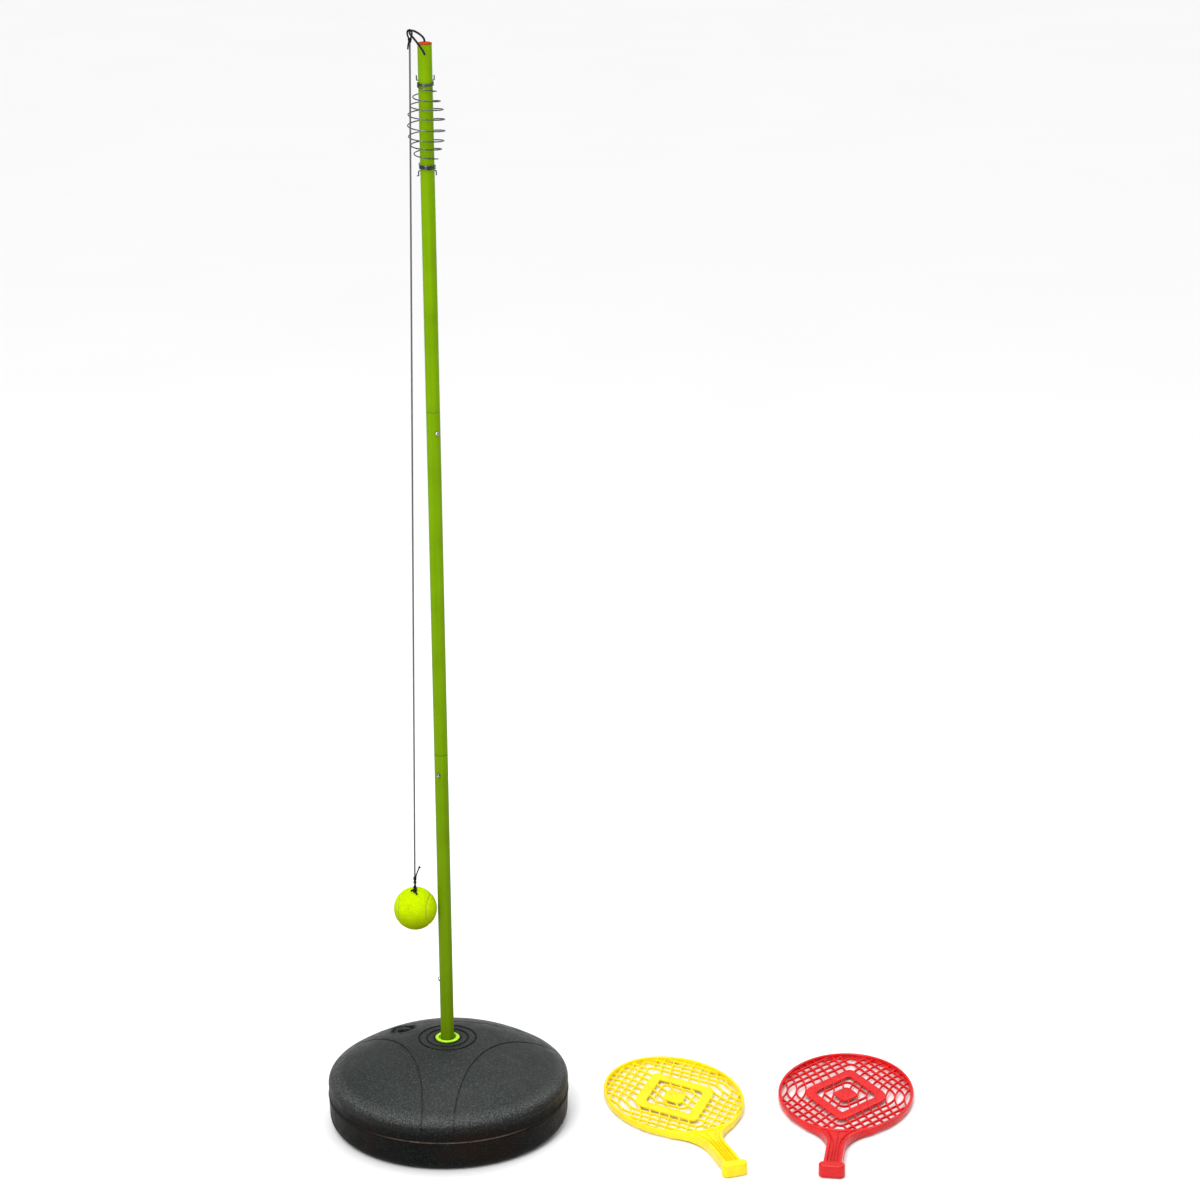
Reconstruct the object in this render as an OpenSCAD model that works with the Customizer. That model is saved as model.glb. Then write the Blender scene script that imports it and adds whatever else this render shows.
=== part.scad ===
// Tetherball set: a weighted round base, a three-piece pole with a spiral coil and a swivel hook,
// a ball on a cord, and two lattice bats that lie on the ground beside the base.
// Millimetres, +Z up, origin at the centre of the base's underside.

/* [Base] */
// Largest diameter of the base
base_d = 364; // [350:1:380]
// Height of the base's flat crown
crown_z = 131; // [129:1:135]
// Height of the joint between the two base shells
parting_z = 46; // [42:1:50]
// Wall thickness of the base shells
base_wall = 3.2; // [2.8:0.1:3.6]

/* [Pole] */
// Outer diameter of the pole
pole_d = 20; // [19.6:0.1:20.4]
// Wall thickness of the pole sections
pole_wall = 1.1; // [1:0.1:1.3]
// Length of each of the three pole sections
section_l = 518; // [500:1:530]
// Depth of the pole below the socket's flange
pole_depth = 62; // [58:1:64]

/* [Snap buttons] */
// Distance from a joint down to its snap button
button_drop = 31; // [28:1:34]
// How far a button stands out of the pole
button_proud = 3; // [2:0.1:3.2]

/* [Coil] */
// Wire diameter of the spiral coil
coil_wire = 1.8; // [1.6:0.1:2]
// Radius of the coil's wire at its widest
coil_r = 25.8; // [22:0.1:26]
// Distance from the pole's top down to the coil's top
coil_drop = 52; // [48:1:56]
// Height of the wound part of the coil
coil_h = 120; // [112:1:124]

/* [Tether] */
// Diameter of the cord
cord_d = 2.5; // [2:0.1:2.8]
// Diameter of the ball
ball_d = 65; // [63:0.5:65]
// Height of the ball's centre
ball_z = 347; // [340:1:360]

/* [Bats] */
// Overall length of a bat
bat_l = 400; // [390:1:410]
// Width of a bat's head
head_w = 207; // [200:1:212]
// Thickness of the bat's rim
rim_t = 10; // [9:0.5:12]
// Thickness of the bat's handle
handle_t = 18; // [16:0.5:20]

/* [Hidden] */
$fn = 64;
eps = 0.01;
fine = 0.05;              // running and slip clearance

// Base
base_r = base_d / 2;
lip_fillet = 14;          // rounding between wall and dome
lip_slope = 34.8;         // slope of the dome where it meets the lip
wall_top_z = crown_z - 66;
foot_fillet = 17;         // rounding between wall and underside
crown_r = 46;             // radius of the flat crown
groove_w = 2.2;           // width of the moulded grooves
groove_depth = 1.4;
ring_radii = [32, 44];    // rings round the socket
petal_r = 286;            // radius of each petal's edge in plan
petal_centre = 354;       // distance of that arc's centre from the axis
petal_az = [85, 205, 325];
boss_r = 17;              // post and boss that hold the socket
lap_h = 8;                // lap of the bottom shell inside the top shell
fill_az = 138;            // direction of the filler opening
fill_off = 90;            // its distance from the axis
fill_pocket_r = 17;
fill_pocket_z = crown_z - 21;
fill_neck_r = 12;
fill_neck_z = fill_pocket_z - 12;

// Socket and pole
flange_t = 2;
flange_r = 18.3;
flange_z = crown_z + flange_t;
sleeve_r = 13;
sleeve_floor = 3;
pole_r = pole_d / 2;
pole_bore = pole_r - pole_wall;
pole_z0 = flange_z - pole_depth;
seam_z = [pole_z0, pole_z0 + section_l, pole_z0 + 2 * section_l];
pole_top = pole_z0 + 3 * section_l;
seam_gap = 0.6;
ferrule_r = pole_bore - fine;
ferrule_bore = ferrule_r - 1.2;
ferrule_half = 62;        // length of a ferrule on each side of its seam

// Snap buttons: height and direction of each
button_r = 3.1;
button_z = [flange_z + 96, seam_z[1] - button_drop, seam_z[2] - button_drop];
button_az = [188, 244, 298];
leg_t = 0.8;
leg_w = 6;
leg_x = 5.2;              // inner face of the button's own leg
leg_l = 28;
leg_below = 5;

// Coil
coil_top = pole_top - coil_drop;
coil_bottom = coil_top - coil_h;
coil_fit_r = pole_r + coil_wire / 2 + fine;
coil_turns = 8;
coil_close = 2.6;         // close turns at each end
close_pitch = coil_wire + 0.25;
coil_sides = 6;
coil_steps = 20;          // rings for each turn
pin_r = 0.9;
pin_drop = 2.6;           // distance of the retaining pins from the coil's ends

// Cap and hook
cap_rim_h = 3;
cap_shank_l = 20;
hook_r = 1.5;
hook_bore = hook_r + fine;
collar_h = 3;
eye_off = [-20, -20.5];    // the hook's eye in plan
eye_z = pole_top + 19;

// Tether: direction in plan of the ball from the pole
ball_az = 187;
ball_r = ball_d / 2;
ball_off = 43.5;
ball_xy = ball_off * [cos(ball_az), sin(ball_az)];
cord_r = cord_d / 2;
loop_r = hook_r + cord_r + 0.35;
knot_r = 3.4;
knot_drop = 11;           // distance from the hook's wire down to the knot
ball_knot_h = 8;          // height of the knot above the ball
felt_t = 2.9;
core_t = 3.6;
felt_hole_r = 4.4;        // hole in the felt round the knot
// Points of the cord's route, from the knot under the hook to the knot on the ball
cord_route = [[-20, -20.5, 1631], [-25.8, -16.7, 1320], [-31.6, -12.9, 1008], [-37.4, -9.1, 696],
    [-43.2, -5.3, 385]];

// Bats: lattice measures are from the pattern's centre, with the handle towards -Y
head_l = 272;
rim_w = 4.8;
lattice_t = 4.2;
bar_w = 2.5;
pattern_drop = 4;         // the pattern's centre is this much nearer the handle
edge_turn = 37.4;         // turn of the diamonds' sides from the lengthwise direction
// Thin diamonds: half width of the straight sides, and where their eased sides cross mid height
thin_diamonds = [[35.9, 32.4], [86, 75.6], [102, 90], [118, 104], [134, 118]];
band_outer = 69.3;        // half width of the broad diamond, outside and inside
band_inner = 48.6;
centre_half = 20.5;       // half width of the solid diamond in the middle
curve_w = 2.3;            // width of the curved bars
curve_pitch = 14.4;       // spacing of the curved bars at mid height
curve_first = 4;
handle_w = 27;
butt_w = 39;
butt_l = 17;
butt_t = 20;
web_t = 7;
rail_w = 5;
rib_w = 1.8;
rib_gap = 4.3;
bat_place = [[345, 30, 16], [610, 20, -12]];   // head centre and turn of each bat on the ground

// ---------------------------------------------------------------- functions
function arc(c, r, a0, a1, n) = [for (i = [0:n]) let (a = a0 + (a1 - a0) * i / n)
    [c[0] + r * cos(a), c[1] + r * sin(a)]];
function unit(v) = v / norm(v);

// Smooth curve through a list of points, with n steps for each stretch
function at_end(p, i) = p[max(0, min(len(p) - 1, i))];
function spline(p, n) = [for (i = [0:len(p) - 2], k = [0:n - 1 + (i == len(p) - 2 ? 1 : 0)])
    let (t = k / n, a = at_end(p, i - 1), b = p[i], c = p[i + 1], d = at_end(p, i + 2))
    0.5 * (2 * b + (c - a) * t + (2 * a - 5 * b + 4 * c - d) * t * t
        + (3 * b - a - 3 * c + d) * t * t * t)];

// Frames carried along a path without twist, then a closed tube round it
function tangent(p, i) = unit(at_end(p, i + 1) - at_end(p, i - 1));
function side_of(t) = unit(abs(t[2]) < 0.9 ? cross(t, [0, 0, 1]) : cross(t, [1, 0, 0]));
function carry(p, i, u) = let (t = tangent(p, i)) unit(u - (u * t) * t);
function sides(p, i = 0, u = undef) = i >= len(p) ? [] :
    let (v = i == 0 ? side_of(tangent(p, 0)) : carry(p, i, u)) concat([v], sides(p, i + 1, v));
module tube_along(p, r, n) {
    us = sides(p);
    m = len(p);
    pts = [for (i = [0:m - 1], k = [0:n - 1])
        let (t = tangent(p, i), u = us[i], v = cross(t, u), a = 360 * (k + 0.5) / n)
        p[i] + r * (cos(a) * u + sin(a) * v)];
    walls = [for (i = [0:m - 2], k = [0:n - 1])
        [i * n + k, i * n + (k + 1) % n, (i + 1) * n + (k + 1) % n, (i + 1) * n + k]];
    ends = [[for (k = [n - 1:-1:0]) k], [for (k = [0:n - 1]) (m - 1) * n + k]];
    polyhedron(points = pts, faces = [for (f = concat(walls, ends)) [for (j = [len(f) - 1:-1:0]) f[j]]]);
}

// Base profile: the dome is one arc from the crown to the rounded lip
lip_c = [base_r - 0.6 - lip_fillet, wall_top_z];
dome_out = lip_c + lip_fillet * [sin(lip_slope), cos(lip_slope)];
dome_in = [crown_r, crown_z];
dome_chord = dome_out - dome_in;
dome_tilt = atan2(-dome_chord[1], dome_chord[0]);
dome_half = lip_slope - dome_tilt;
dome_rad = norm(dome_chord) / (2 * sin(dome_half));
dome_c = dome_out - dome_rad * [sin(lip_slope), cos(lip_slope)];
function top_profile(d) = concat([[base_r - d, parting_z]],
    arc(lip_c, lip_fillet - d, 0, 90 - lip_slope, 6),
    arc(dome_c, dome_rad - d, 90 - lip_slope, 90 - (dome_tilt - dome_half), 12),
    [[crown_r - 4, crown_z - d], [0, crown_z - d]]);
foot_c = [base_r - 1.6 - foot_fillet, foot_fillet];
function bottom_profile(d) = concat([[0, d], [foot_c[0], d]],
    arc(foot_c, foot_fillet - d, -90, 0, 6), [[base_r - d, parting_z]]);

module dome(d, floor_z) {
    rotate_extrude() polygon(concat([[0, floor_z], [base_r - d, floor_z]], top_profile(d)));
}

// ---------------------------------------------------------------- base
module grooves() {
    intersection() {
        difference() {
            dome(-1, parting_z);
            dome(groove_depth, parting_z - 1);
        }
        union() {
            for (a = petal_az) rotate(a) translate([petal_centre, 0, parting_z + 12]) difference() {
                cylinder(r = petal_r, h = 100, $fn = 180);
                translate([0, 0, -1]) cylinder(r = petal_r - groove_w, h = 102, $fn = 180);
            }
            for (r = ring_radii) translate([0, 0, parting_z + 12]) difference() {
                cylinder(r = r, h = 100);
                translate([0, 0, -1]) cylinder(r = r - groove_w, h = 102);
            }
        }
    }
}

module at_fill() {
    translate([fill_off * cos(fill_az), fill_off * sin(fill_az), 0]) children();
}

module base_top_shell() color([0.14, 0.15, 0.14]) difference() {
    union() {
        difference() {
            dome(0, parting_z);
            dome(base_wall, parting_z - 1);
        }
        intersection() {
            dome(eps, parting_z);
            union() {
                translate([0, 0, pole_z0 - sleeve_floor]) cylinder(r = boss_r, h = 100);
                at_fill() translate([0, 0, fill_pocket_z - base_wall])
                    cylinder(r = fill_pocket_r + base_wall, h = 100);
                at_fill() translate([0, 0, fill_neck_z]) cylinder(r = fill_neck_r + 2.4, h = 40);
            }
        }
    }
    grooves();
    translate([0, 0, parting_z]) cylinder(r = sleeve_r + fine, h = 200);
    at_fill() translate([0, 0, fill_pocket_z]) cylinder(r = fill_pocket_r, h = 100);
    at_fill() translate([0, 0, parting_z]) cylinder(r = fill_neck_r, h = 100);
}

module base_bottom_shell() color([0.12, 0.13, 0.12]) union() {
    rotate_extrude() polygon(concat(bottom_profile(0),
        [[base_r - base_wall - 0.3, parting_z], [base_r - base_wall - 0.3, parting_z + lap_h],
         [base_r - 2 * base_wall, parting_z + lap_h]],
        [for (i = [len(bottom_profile(0)) - 1:-1:0]) let (q = bottom_profile(base_wall)[i])
            [min(q[0], base_r - 2 * base_wall), q[1]]]));
    difference() {
        translate([0, 0, base_wall - eps]) cylinder(r = boss_r, h = pole_z0 - sleeve_floor - base_wall);
        translate([0, 0, base_wall + 6]) cylinder(r = boss_r - base_wall, h = 100);
    }
}

module pole_socket() color([0.62, 0.83, 0.05]) difference() {
    union() {
        translate([0, 0, crown_z]) cylinder(r = flange_r, h = flange_t);
        translate([0, 0, pole_z0 - sleeve_floor])
            cylinder(r = sleeve_r, h = crown_z - pole_z0 + sleeve_floor + eps);
    }
    translate([0, 0, pole_z0]) cylinder(r = pole_r + fine, h = 100);
}

// ---------------------------------------------------------------- pole
module button_hole(i) {
    translate([0, 0, button_z[i]]) rotate([0, 90, button_az[i]])
        cylinder(r = button_r + 0.08, h = pole_r + 5);
}

module pole_section(z0, z1) difference() {
    translate([0, 0, z0]) cylinder(r = pole_r, h = z1 - z0);
    translate([0, 0, z0 - 1]) cylinder(r = pole_bore, h = z1 - z0 + 2);
    for (i = [0:2]) if (button_z[i] > z0 && button_z[i] < z1) button_hole(i);
    for (z = [coil_top + pin_drop, coil_bottom - pin_drop]) if (z > z0 && z < z1)
        translate([0, 0, z]) rotate([0, 90, 0]) cylinder(r = pin_r + fine, h = 4 * pole_r, center = true);
}
module pole_lower() color([0.5, 0.7, 0.02]) pole_section(seam_z[0], seam_z[1] - seam_gap);
module pole_middle() color([0.5, 0.7, 0.02]) pole_section(seam_z[1], seam_z[2] - seam_gap);
module pole_upper() color([0.5, 0.7, 0.02]) pole_section(seam_z[2], pole_top);

module ferrule(z0, z1, i) difference() {
    translate([0, 0, z0]) cylinder(r = ferrule_r, h = z1 - z0);
    translate([0, 0, z0 - 1]) cylinder(r = ferrule_bore, h = z1 - z0 + 2);
    button_hole(i);
}
module socket_stub() color([0.7, 0.7, 0.72]) ferrule(pole_z0, flange_z + 132, 0);
module ferrule_middle() color([0.7, 0.7, 0.72])
    ferrule(seam_z[1] - ferrule_half, seam_z[1] + ferrule_half, 1);
module ferrule_upper() color([0.7, 0.7, 0.72])
    ferrule(seam_z[2] - ferrule_half, seam_z[2] + ferrule_half, 2);

// The button's pin, dome and the live leg of its spring move as one
module snap_button(i) color([0.8, 0.8, 0.82]) translate([0, 0, button_z[i]]) rotate(button_az[i]) {
    dome_r = (button_r * button_r + button_proud * button_proud) / (2 * button_proud);
    rotate([0, 90, 0]) {
        translate([0, 0, leg_x + leg_t - eps]) cylinder(r = button_r, h = pole_r - leg_x - leg_t + eps);
        intersection() {
            translate([0, 0, pole_r + button_proud - dome_r]) sphere(r = dome_r);
            translate([0, 0, pole_r - eps]) cylinder(r = button_r, h = 2 * button_proud);
        }
    }
    translate([leg_x, -leg_w / 2, -leg_below]) cube([leg_t, leg_w, leg_l + leg_below - 0.1]);
}
module snap_button_low() snap_button(0);
module snap_button_middle() snap_button(1);
module snap_button_upper() snap_button(2);

// Fixed leg and bend of the hairpin spring
module snap_spring(i) color([0.6, 0.6, 0.63]) translate([0, 0, button_z[i]]) rotate(button_az[i]) {
    far_x = -6.8;
    mid = (far_x + leg_x + leg_t) / 2;
    bend_r = (leg_x + leg_t - far_x) / 2;
    translate([far_x, -leg_w / 2, -leg_below]) cube([leg_t, leg_w, leg_l + leg_below]);
    translate([mid, leg_w / 2, leg_l]) rotate([90, 0, 0]) linear_extrude(leg_w) intersection() {
        difference() {
            circle(r = bend_r);
            circle(r = bend_r - leg_t);
        }
        translate([-bend_r, 0]) square([2 * bend_r, bend_r]);
    }
}
module snap_spring_low() snap_spring(0);
module snap_spring_middle() snap_spring(1);
module snap_spring_upper() snap_spring(2);

// ---------------------------------------------------------------- coil
// A left-handed winding: close turns, then open turns that swell to a barrel, then close turns
close_h = coil_close * close_pitch;
open_h = coil_h - 2 * close_h;
function swell(t) = pow(sin(180 * t), 0.8);
function open_z(t) = coil_top - close_h - open_h * (t + 0.028 * sin(720 * t) / 2);
function coil_point(n) = let (a = 330 + 360 * n,
    t = (n - coil_close) / coil_turns,
    r = t <= 0 || t >= 1 ? coil_fit_r : coil_fit_r + (coil_r - coil_fit_r) * swell(t),
    z = t <= 0 ? coil_top - n * close_pitch
        : t >= 1 ? coil_bottom + (coil_turns + 2 * coil_close - n) * close_pitch : open_z(t))
    [r * cos(a), r * sin(a), z];
total_turns = coil_turns + 2 * coil_close;
steps = floor(total_turns * coil_steps);
module spiral_coil() color([0.72, 0.72, 0.74])
    tube_along([for (i = [0:steps]) coil_point(i * total_turns / steps)], coil_wire / 2, coil_sides);

// Wire pins through the pole hold the coil's ends; their ends are bent along the pole
module coil_pin(z, up, foot) color([0.66, 0.66, 0.68]) translate([0, 0, z]) {
    reach = pole_r + 2.2;
    rotate([0, 90, 0]) cylinder(r = pin_r, h = 2 * reach, center = true);
    for (s = [-1, 1]) translate([s * reach, 0, 0]) {
        sphere(r = pin_r);
        rotate([up ? 0 : 180, 0, 0]) cylinder(r = pin_r, h = 7);
        if (foot && s < 0) translate([0, 0, up ? 7 : -7]) {
            sphere(r = pin_r);
            rotate([0, -90, 0]) cylinder(r = pin_r, h = 3);
        }
    }
}
module coil_pin_top() coil_pin(coil_top + pin_drop, true, false);
module coil_pin_bottom() coil_pin(coil_bottom - pin_drop, false, true);

// ---------------------------------------------------------------- cap and hook
module top_cap() color([0.85, 0.2, 0.08]) difference() {
    union() {
        translate([0, 0, pole_top]) rotate_extrude() polygon(concat([[0, 0], [pole_r + 0.4, 0]],
            arc([pole_r - 1.6, 1], 2, 0, 90, 6), [[4, cap_rim_h - 1.2], [0, cap_rim_h - 1.2]]));
        translate([0, 0, pole_top - cap_shank_l]) cylinder(r = pole_bore - fine, h = cap_shank_l + eps);
    }
    translate([0, 0, pole_top - cap_shank_l - 1]) cylinder(r = hook_bore, h = cap_shank_l + 10);
    translate([0, 0, pole_top - cap_shank_l - 1]) cylinder(r = 4.2, h = 7);
}

// The hook's route from the top of its stem, round the eye and down to its free end
stem_top = pole_top + 4;
stem_l = cap_shank_l + 2;
hook_route = [[0, 0, stem_top - 3], [0, 0, stem_top], [-2, 1, stem_top + 5], [-8, 3, stem_top + 10],
    [-15, 0, stem_top + 14], [-19.5, -10, eye_z + 0.5], [-20, -20.5, eye_z], [-19, -28, eye_z - 2],
    [-14, -29, eye_z - 8], [-8, -23, eye_z - 17], [-2, -17, eye_z - 27], [0, -15.5, eye_z - 32]];
module swivel_hook() color([0.06, 0.06, 0.06]) union() {
    translate([0, 0, stem_top - 1 - stem_l]) cylinder(r = hook_r, h = stem_l);
    tube_along(spline(hook_route, 4), hook_r, 10);
}
module hook_collar() color([0.5, 0.5, 0.52]) difference() {
    translate([0, 0, pole_top - cap_shank_l + 1.5]) cylinder(r = 3.8, h = collar_h);
    translate([0, 0, pole_top - cap_shank_l]) cylinder(r = hook_r, h = collar_h + 4);
}

// ---------------------------------------------------------------- tether
module tether_loop() color([0.05, 0.05, 0.05]) translate([eye_off[0], eye_off[1], eye_z]) {
    rotate([90, 0, ball_az - 180]) rotate_extrude() translate([loop_r, 0]) circle(r = cord_r, $fn = 24);
    translate([0, 0, -knot_drop]) cylinder(r = cord_r + 0.6, h = knot_drop - loop_r);
    translate([0, 0, -knot_drop]) sphere(r = knot_r);
}
module tether_cord() color([0.12, 0.12, 0.12]) tube_along(spline(cord_route, 12), cord_r, 8);
module at_ball() {
    translate([ball_xy[0], ball_xy[1], ball_z]) children();
}
module ball_knot() color([0.05, 0.05, 0.05]) at_ball() translate([0, 0, ball_r]) {
    cylinder(r1 = felt_hole_r - 0.2, r2 = 1.6, h = ball_knot_h, $fn = 48);
    translate([0, 0, 0.1 - felt_t]) cylinder(r = felt_hole_r - 0.2, h = felt_t, $fn = 48);
}
// The cord's end, knotted inside the ball
module ball_anchor() color([0.05, 0.05, 0.05]) at_ball() translate([0, 0, ball_r - felt_t]) {
    translate([0, 0, -core_t - 1]) cylinder(r = cord_r, h = core_t + 1.1);
    translate([0, 0, -core_t - 3.8]) cylinder(r = 4, h = 3.3);
}
module ball_core() color([0.25, 0.25, 0.24]) at_ball() difference() {
    sphere(r = ball_r - felt_t);
    sphere(r = ball_r - felt_t - core_t);
    cylinder(r = cord_r + fine, h = ball_d);
}
module ball_felt() color([0.8, 0.95, 0.05]) at_ball() difference() {
    sphere(r = ball_r);
    sphere(r = ball_r - felt_t);
    cylinder(r = felt_hole_r, h = ball_d);
}

// ---------------------------------------------------------------- filler cap
module fill_cap() color([0.07, 0.075, 0.07]) at_fill() translate([0, 0, fill_pocket_z]) {
    translate([0, 0, 2]) cylinder(r = 14.6, h = 4);
    translate([0, 0, -10]) cylinder(r = fill_neck_r - 0.08, h = 12 + eps);
    translate([0, 0, 6 - eps]) linear_extrude(4) union() {
        square([14, 4], center = true);
        for (s = [-1, 1]) translate([7 * s, 0]) circle(r = 2);
    }
}
module fill_gasket() color([0.25, 0.25, 0.25]) at_fill() translate([0, 0, fill_pocket_z]) difference() {
    cylinder(r = 14.4, h = 2);
    translate([0, 0, -1]) cylinder(r = fill_neck_r + 0.1, h = 4);
}

// ---------------------------------------------------------------- bats
function ellipse(a, b, n) = [for (i = [0:n - 1]) [a * cos(360 * i / n), b * sin(360 * i / n)]];
// A bar of width w along a list of plane points
function normal2(p, i) = let (d = unit(at_end(p, i + 1) - at_end(p, i - 1))) [-d[1], d[0]];
function strip(p, w) = concat([for (i = [0:len(p) - 1]) p[i] + normal2(p, i) * w / 2],
    [for (i = [len(p) - 1:-1:0]) p[i] - normal2(p, i) * w / 2]);
module four_ways() for (sx = [0, 1], sy = [0, 1]) mirror([sx, 0]) mirror([0, sy]) children();

// Curved bar number k in one quarter: it leans outwards as it leaves mid height.
// The two inmost ones only start at the crowns of the diamonds.
function curve_foot(k) = curve_first + curve_pitch * k;
function curve_lean(k) = max(0.0026, 0.0028 + 0.000038 * curve_foot(k));
function curve_start(k) = k == -2 ? 106 : k == -1 ? 80 : 0;
function curve_bar(k) = [for (i = [0:12]) let (y = curve_start(k) + (140 - curve_start(k)) * i / 12)
    [curve_foot(k) + curve_lean(k) * y * y, y]];
// Edge of a diamond in one quarter: an arc out of mid height, a straight side and a round crown
function edge_bar(half, foot, crown) = let (c = cos(edge_turn), s = sin(edge_turn),
    foot_r = (half - foot) * c / (1 - c)) concat(arc([foot - foot_r, 0], foot_r, 0, edge_turn, 8),
    arc([0, (c * half - crown) / s], crown, edge_turn, 90, 6));

module lattice_pattern() translate([0, -pattern_drop]) four_ways() {
    for (k = [-2:6]) intersection() {
        polygon(strip(curve_bar(k), curve_w));
        square([head_l, head_l]);
    }
    for (d = thin_diamonds) intersection() {
        polygon(strip(edge_bar(d[0], d[1], 8), bar_w));
        square([head_l, head_l]);
    }
    translate([0, 128]) square([curve_w / 2, 20]);
    polygon(concat(edge_bar(centre_half, 17.7, 6.6), [[0, 0]]));
    difference() {
        polygon(concat(edge_bar(band_outer, 61.3, 7.4), [[0, 0]]));
        polygon(concat(edge_bar(band_inner, 45, 1.5), [[0, 0]]));
    }
}

module head_outline(d) polygon(ellipse(head_w / 2 - d, head_l / 2 - d, 120));
butt_y = head_l / 2 - bat_l;
throat_r = 70;
throat_c = [handle_w / 2 + throat_r, -185];
throat = concat([[0, -100], [80, -86.2], [66, -105], [58, -114]], arc(throat_c, throat_r, 120, 180, 14),
    [[0, throat_c[1]]]);

module bat_outline() difference() {
    union() {
        head_outline(0);
        for (s = [0, 1]) mirror([s, 0]) polygon(throat);
    }
    head_outline(rim_w);
}

module bat_flat() {
    grip_y = butt_y + butt_l / 2;
    grip_l = throat_c[1] + 30 - grip_y;
    translate([0, 0, -lattice_t / 2]) linear_extrude(lattice_t) intersection() {
        offset(delta = 0.01) lattice_pattern();
        head_outline(rim_w / 2);
    }
    translate([0, 0, -rim_t / 2]) linear_extrude(rim_t) bat_outline();
    // Handle: a web with side rails and lengthwise ribs, and a flared butt
    translate([-handle_w / 2, grip_y, -web_t / 2]) cube([handle_w, grip_l, web_t]);
    for (s = [-1, 1]) translate([s * (handle_w - rail_w) / 2 - rail_w / 2, grip_y, -handle_t / 2])
        cube([rail_w, grip_l - 20, handle_t]);
    for (s = [-1, 0, 1]) translate([s * rib_gap - rib_w / 2, grip_y, -handle_t / 2 + 1])
        cube([rib_w, grip_l - 20, handle_t - 2]);
    translate([0, grip_y, -butt_t / 2]) linear_extrude(butt_t) union() {
        square([butt_w - butt_l, butt_l], center = true);
        for (s = [-1, 1]) translate([s * (butt_w - butt_l) / 2, 0]) circle(d = butt_l, $fn = 48);
    }
}

// A bat lies face up, resting on its butt and the far side of its rim
rest_tilt = -atan2((butt_t - rim_t) / 2, bat_l - butt_l);
module bat(i) translate([bat_place[i][0], bat_place[i][1], 0]) rotate(bat_place[i][2])
    translate([0, head_l / 2, 0]) rotate([rest_tilt, 0, 0]) translate([0, -head_l / 2, rim_t / 2])
    bat_flat();
module bat_yellow() color([0.98, 0.85, 0.02]) bat(0);
module bat_red() color([0.86, 0.06, 0.07]) bat(1);

base_top_shell();
base_bottom_shell();
pole_socket();
pole_lower();
pole_middle();
pole_upper();
socket_stub();
ferrule_middle();
ferrule_upper();
snap_button_low();
snap_button_middle();
snap_button_upper();
snap_spring_low();
snap_spring_middle();
snap_spring_upper();
spiral_coil();
coil_pin_top();
coil_pin_bottom();
top_cap();
swivel_hook();
hook_collar();
tether_loop();
tether_cord();
ball_knot();
ball_anchor();
ball_core();
ball_felt();
fill_cap();
fill_gasket();
bat_yellow();
bat_red();
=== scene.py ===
import math

import bmesh
import bpy
import numpy as np
from mathutils import Matrix, Vector, kdtree, noise


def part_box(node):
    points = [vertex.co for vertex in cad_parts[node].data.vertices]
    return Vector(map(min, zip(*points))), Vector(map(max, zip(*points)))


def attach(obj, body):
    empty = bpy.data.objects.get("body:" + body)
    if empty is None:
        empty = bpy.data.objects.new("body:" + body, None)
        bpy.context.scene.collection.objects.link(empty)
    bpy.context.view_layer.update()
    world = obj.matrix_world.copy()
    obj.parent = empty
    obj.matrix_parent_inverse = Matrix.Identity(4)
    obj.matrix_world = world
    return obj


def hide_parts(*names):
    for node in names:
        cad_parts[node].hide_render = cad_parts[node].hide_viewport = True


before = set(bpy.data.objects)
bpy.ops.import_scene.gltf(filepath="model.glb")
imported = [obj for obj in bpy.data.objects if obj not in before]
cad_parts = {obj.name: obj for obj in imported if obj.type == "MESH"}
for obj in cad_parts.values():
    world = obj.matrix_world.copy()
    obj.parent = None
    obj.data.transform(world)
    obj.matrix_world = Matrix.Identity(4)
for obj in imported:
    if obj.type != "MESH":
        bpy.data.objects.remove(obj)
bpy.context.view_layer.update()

MM = 0.001
TAU = 2 * math.pi

# ---------------------------------------------------------------- places taken from the frame
top_lo, top_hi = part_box("base_top_shell")
_, socket_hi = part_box("pole_socket")
lower_lo, lower_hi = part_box("pole_lower")
middle_lo, middle_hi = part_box("pole_middle")
upper_lo, upper_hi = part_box("pole_upper")
ball_lo, ball_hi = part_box("ball_felt")
BASE_R = top_hi.x
CROWN_Z = top_hi.z
PARTING_Z = top_lo.z
FLANGE_Z = socket_hi.z
FLANGE_R = socket_hi.x
POLE_R = middle_hi.x
POLE_TOP = upper_hi.z
BALL_R = (ball_hi.x - ball_lo.x) / 2
BALL_C = (ball_lo + ball_hi) / 2
WALL_TOP = CROWN_Z - 66 * MM


# ---------------------------------------------------------------- camera
def new_object(name, data):
    """Object with that data, linked to the scene."""
    obj = bpy.data.objects.new(name, data)
    bpy.context.scene.collection.objects.link(obj)
    return obj


def look_camera():
    """Camera at the photograph's viewing angle: pitch down, yaw to the right, a little roll."""
    pitch, yaw, roll = math.radians(17.85), math.radians(3.06), math.radians(-0.39)
    distance, height = 4.4, 2.239
    cam = bpy.data.cameras.new("camera")
    cam.sensor_width = 36
    cam.lens = 95.85
    cam.clip_end = 200
    obj = new_object("camera", cam)
    turn = (
        Matrix.Rotation(-yaw, 4, "Z")
        @ Matrix.Rotation(math.pi / 2 - pitch, 4, "X")
        @ Matrix.Rotation(roll, 4, "Z")
    )
    obj.matrix_world = Matrix.Translation((0, -distance, height)) @ turn
    bpy.context.scene.camera = obj


look_camera()


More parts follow.
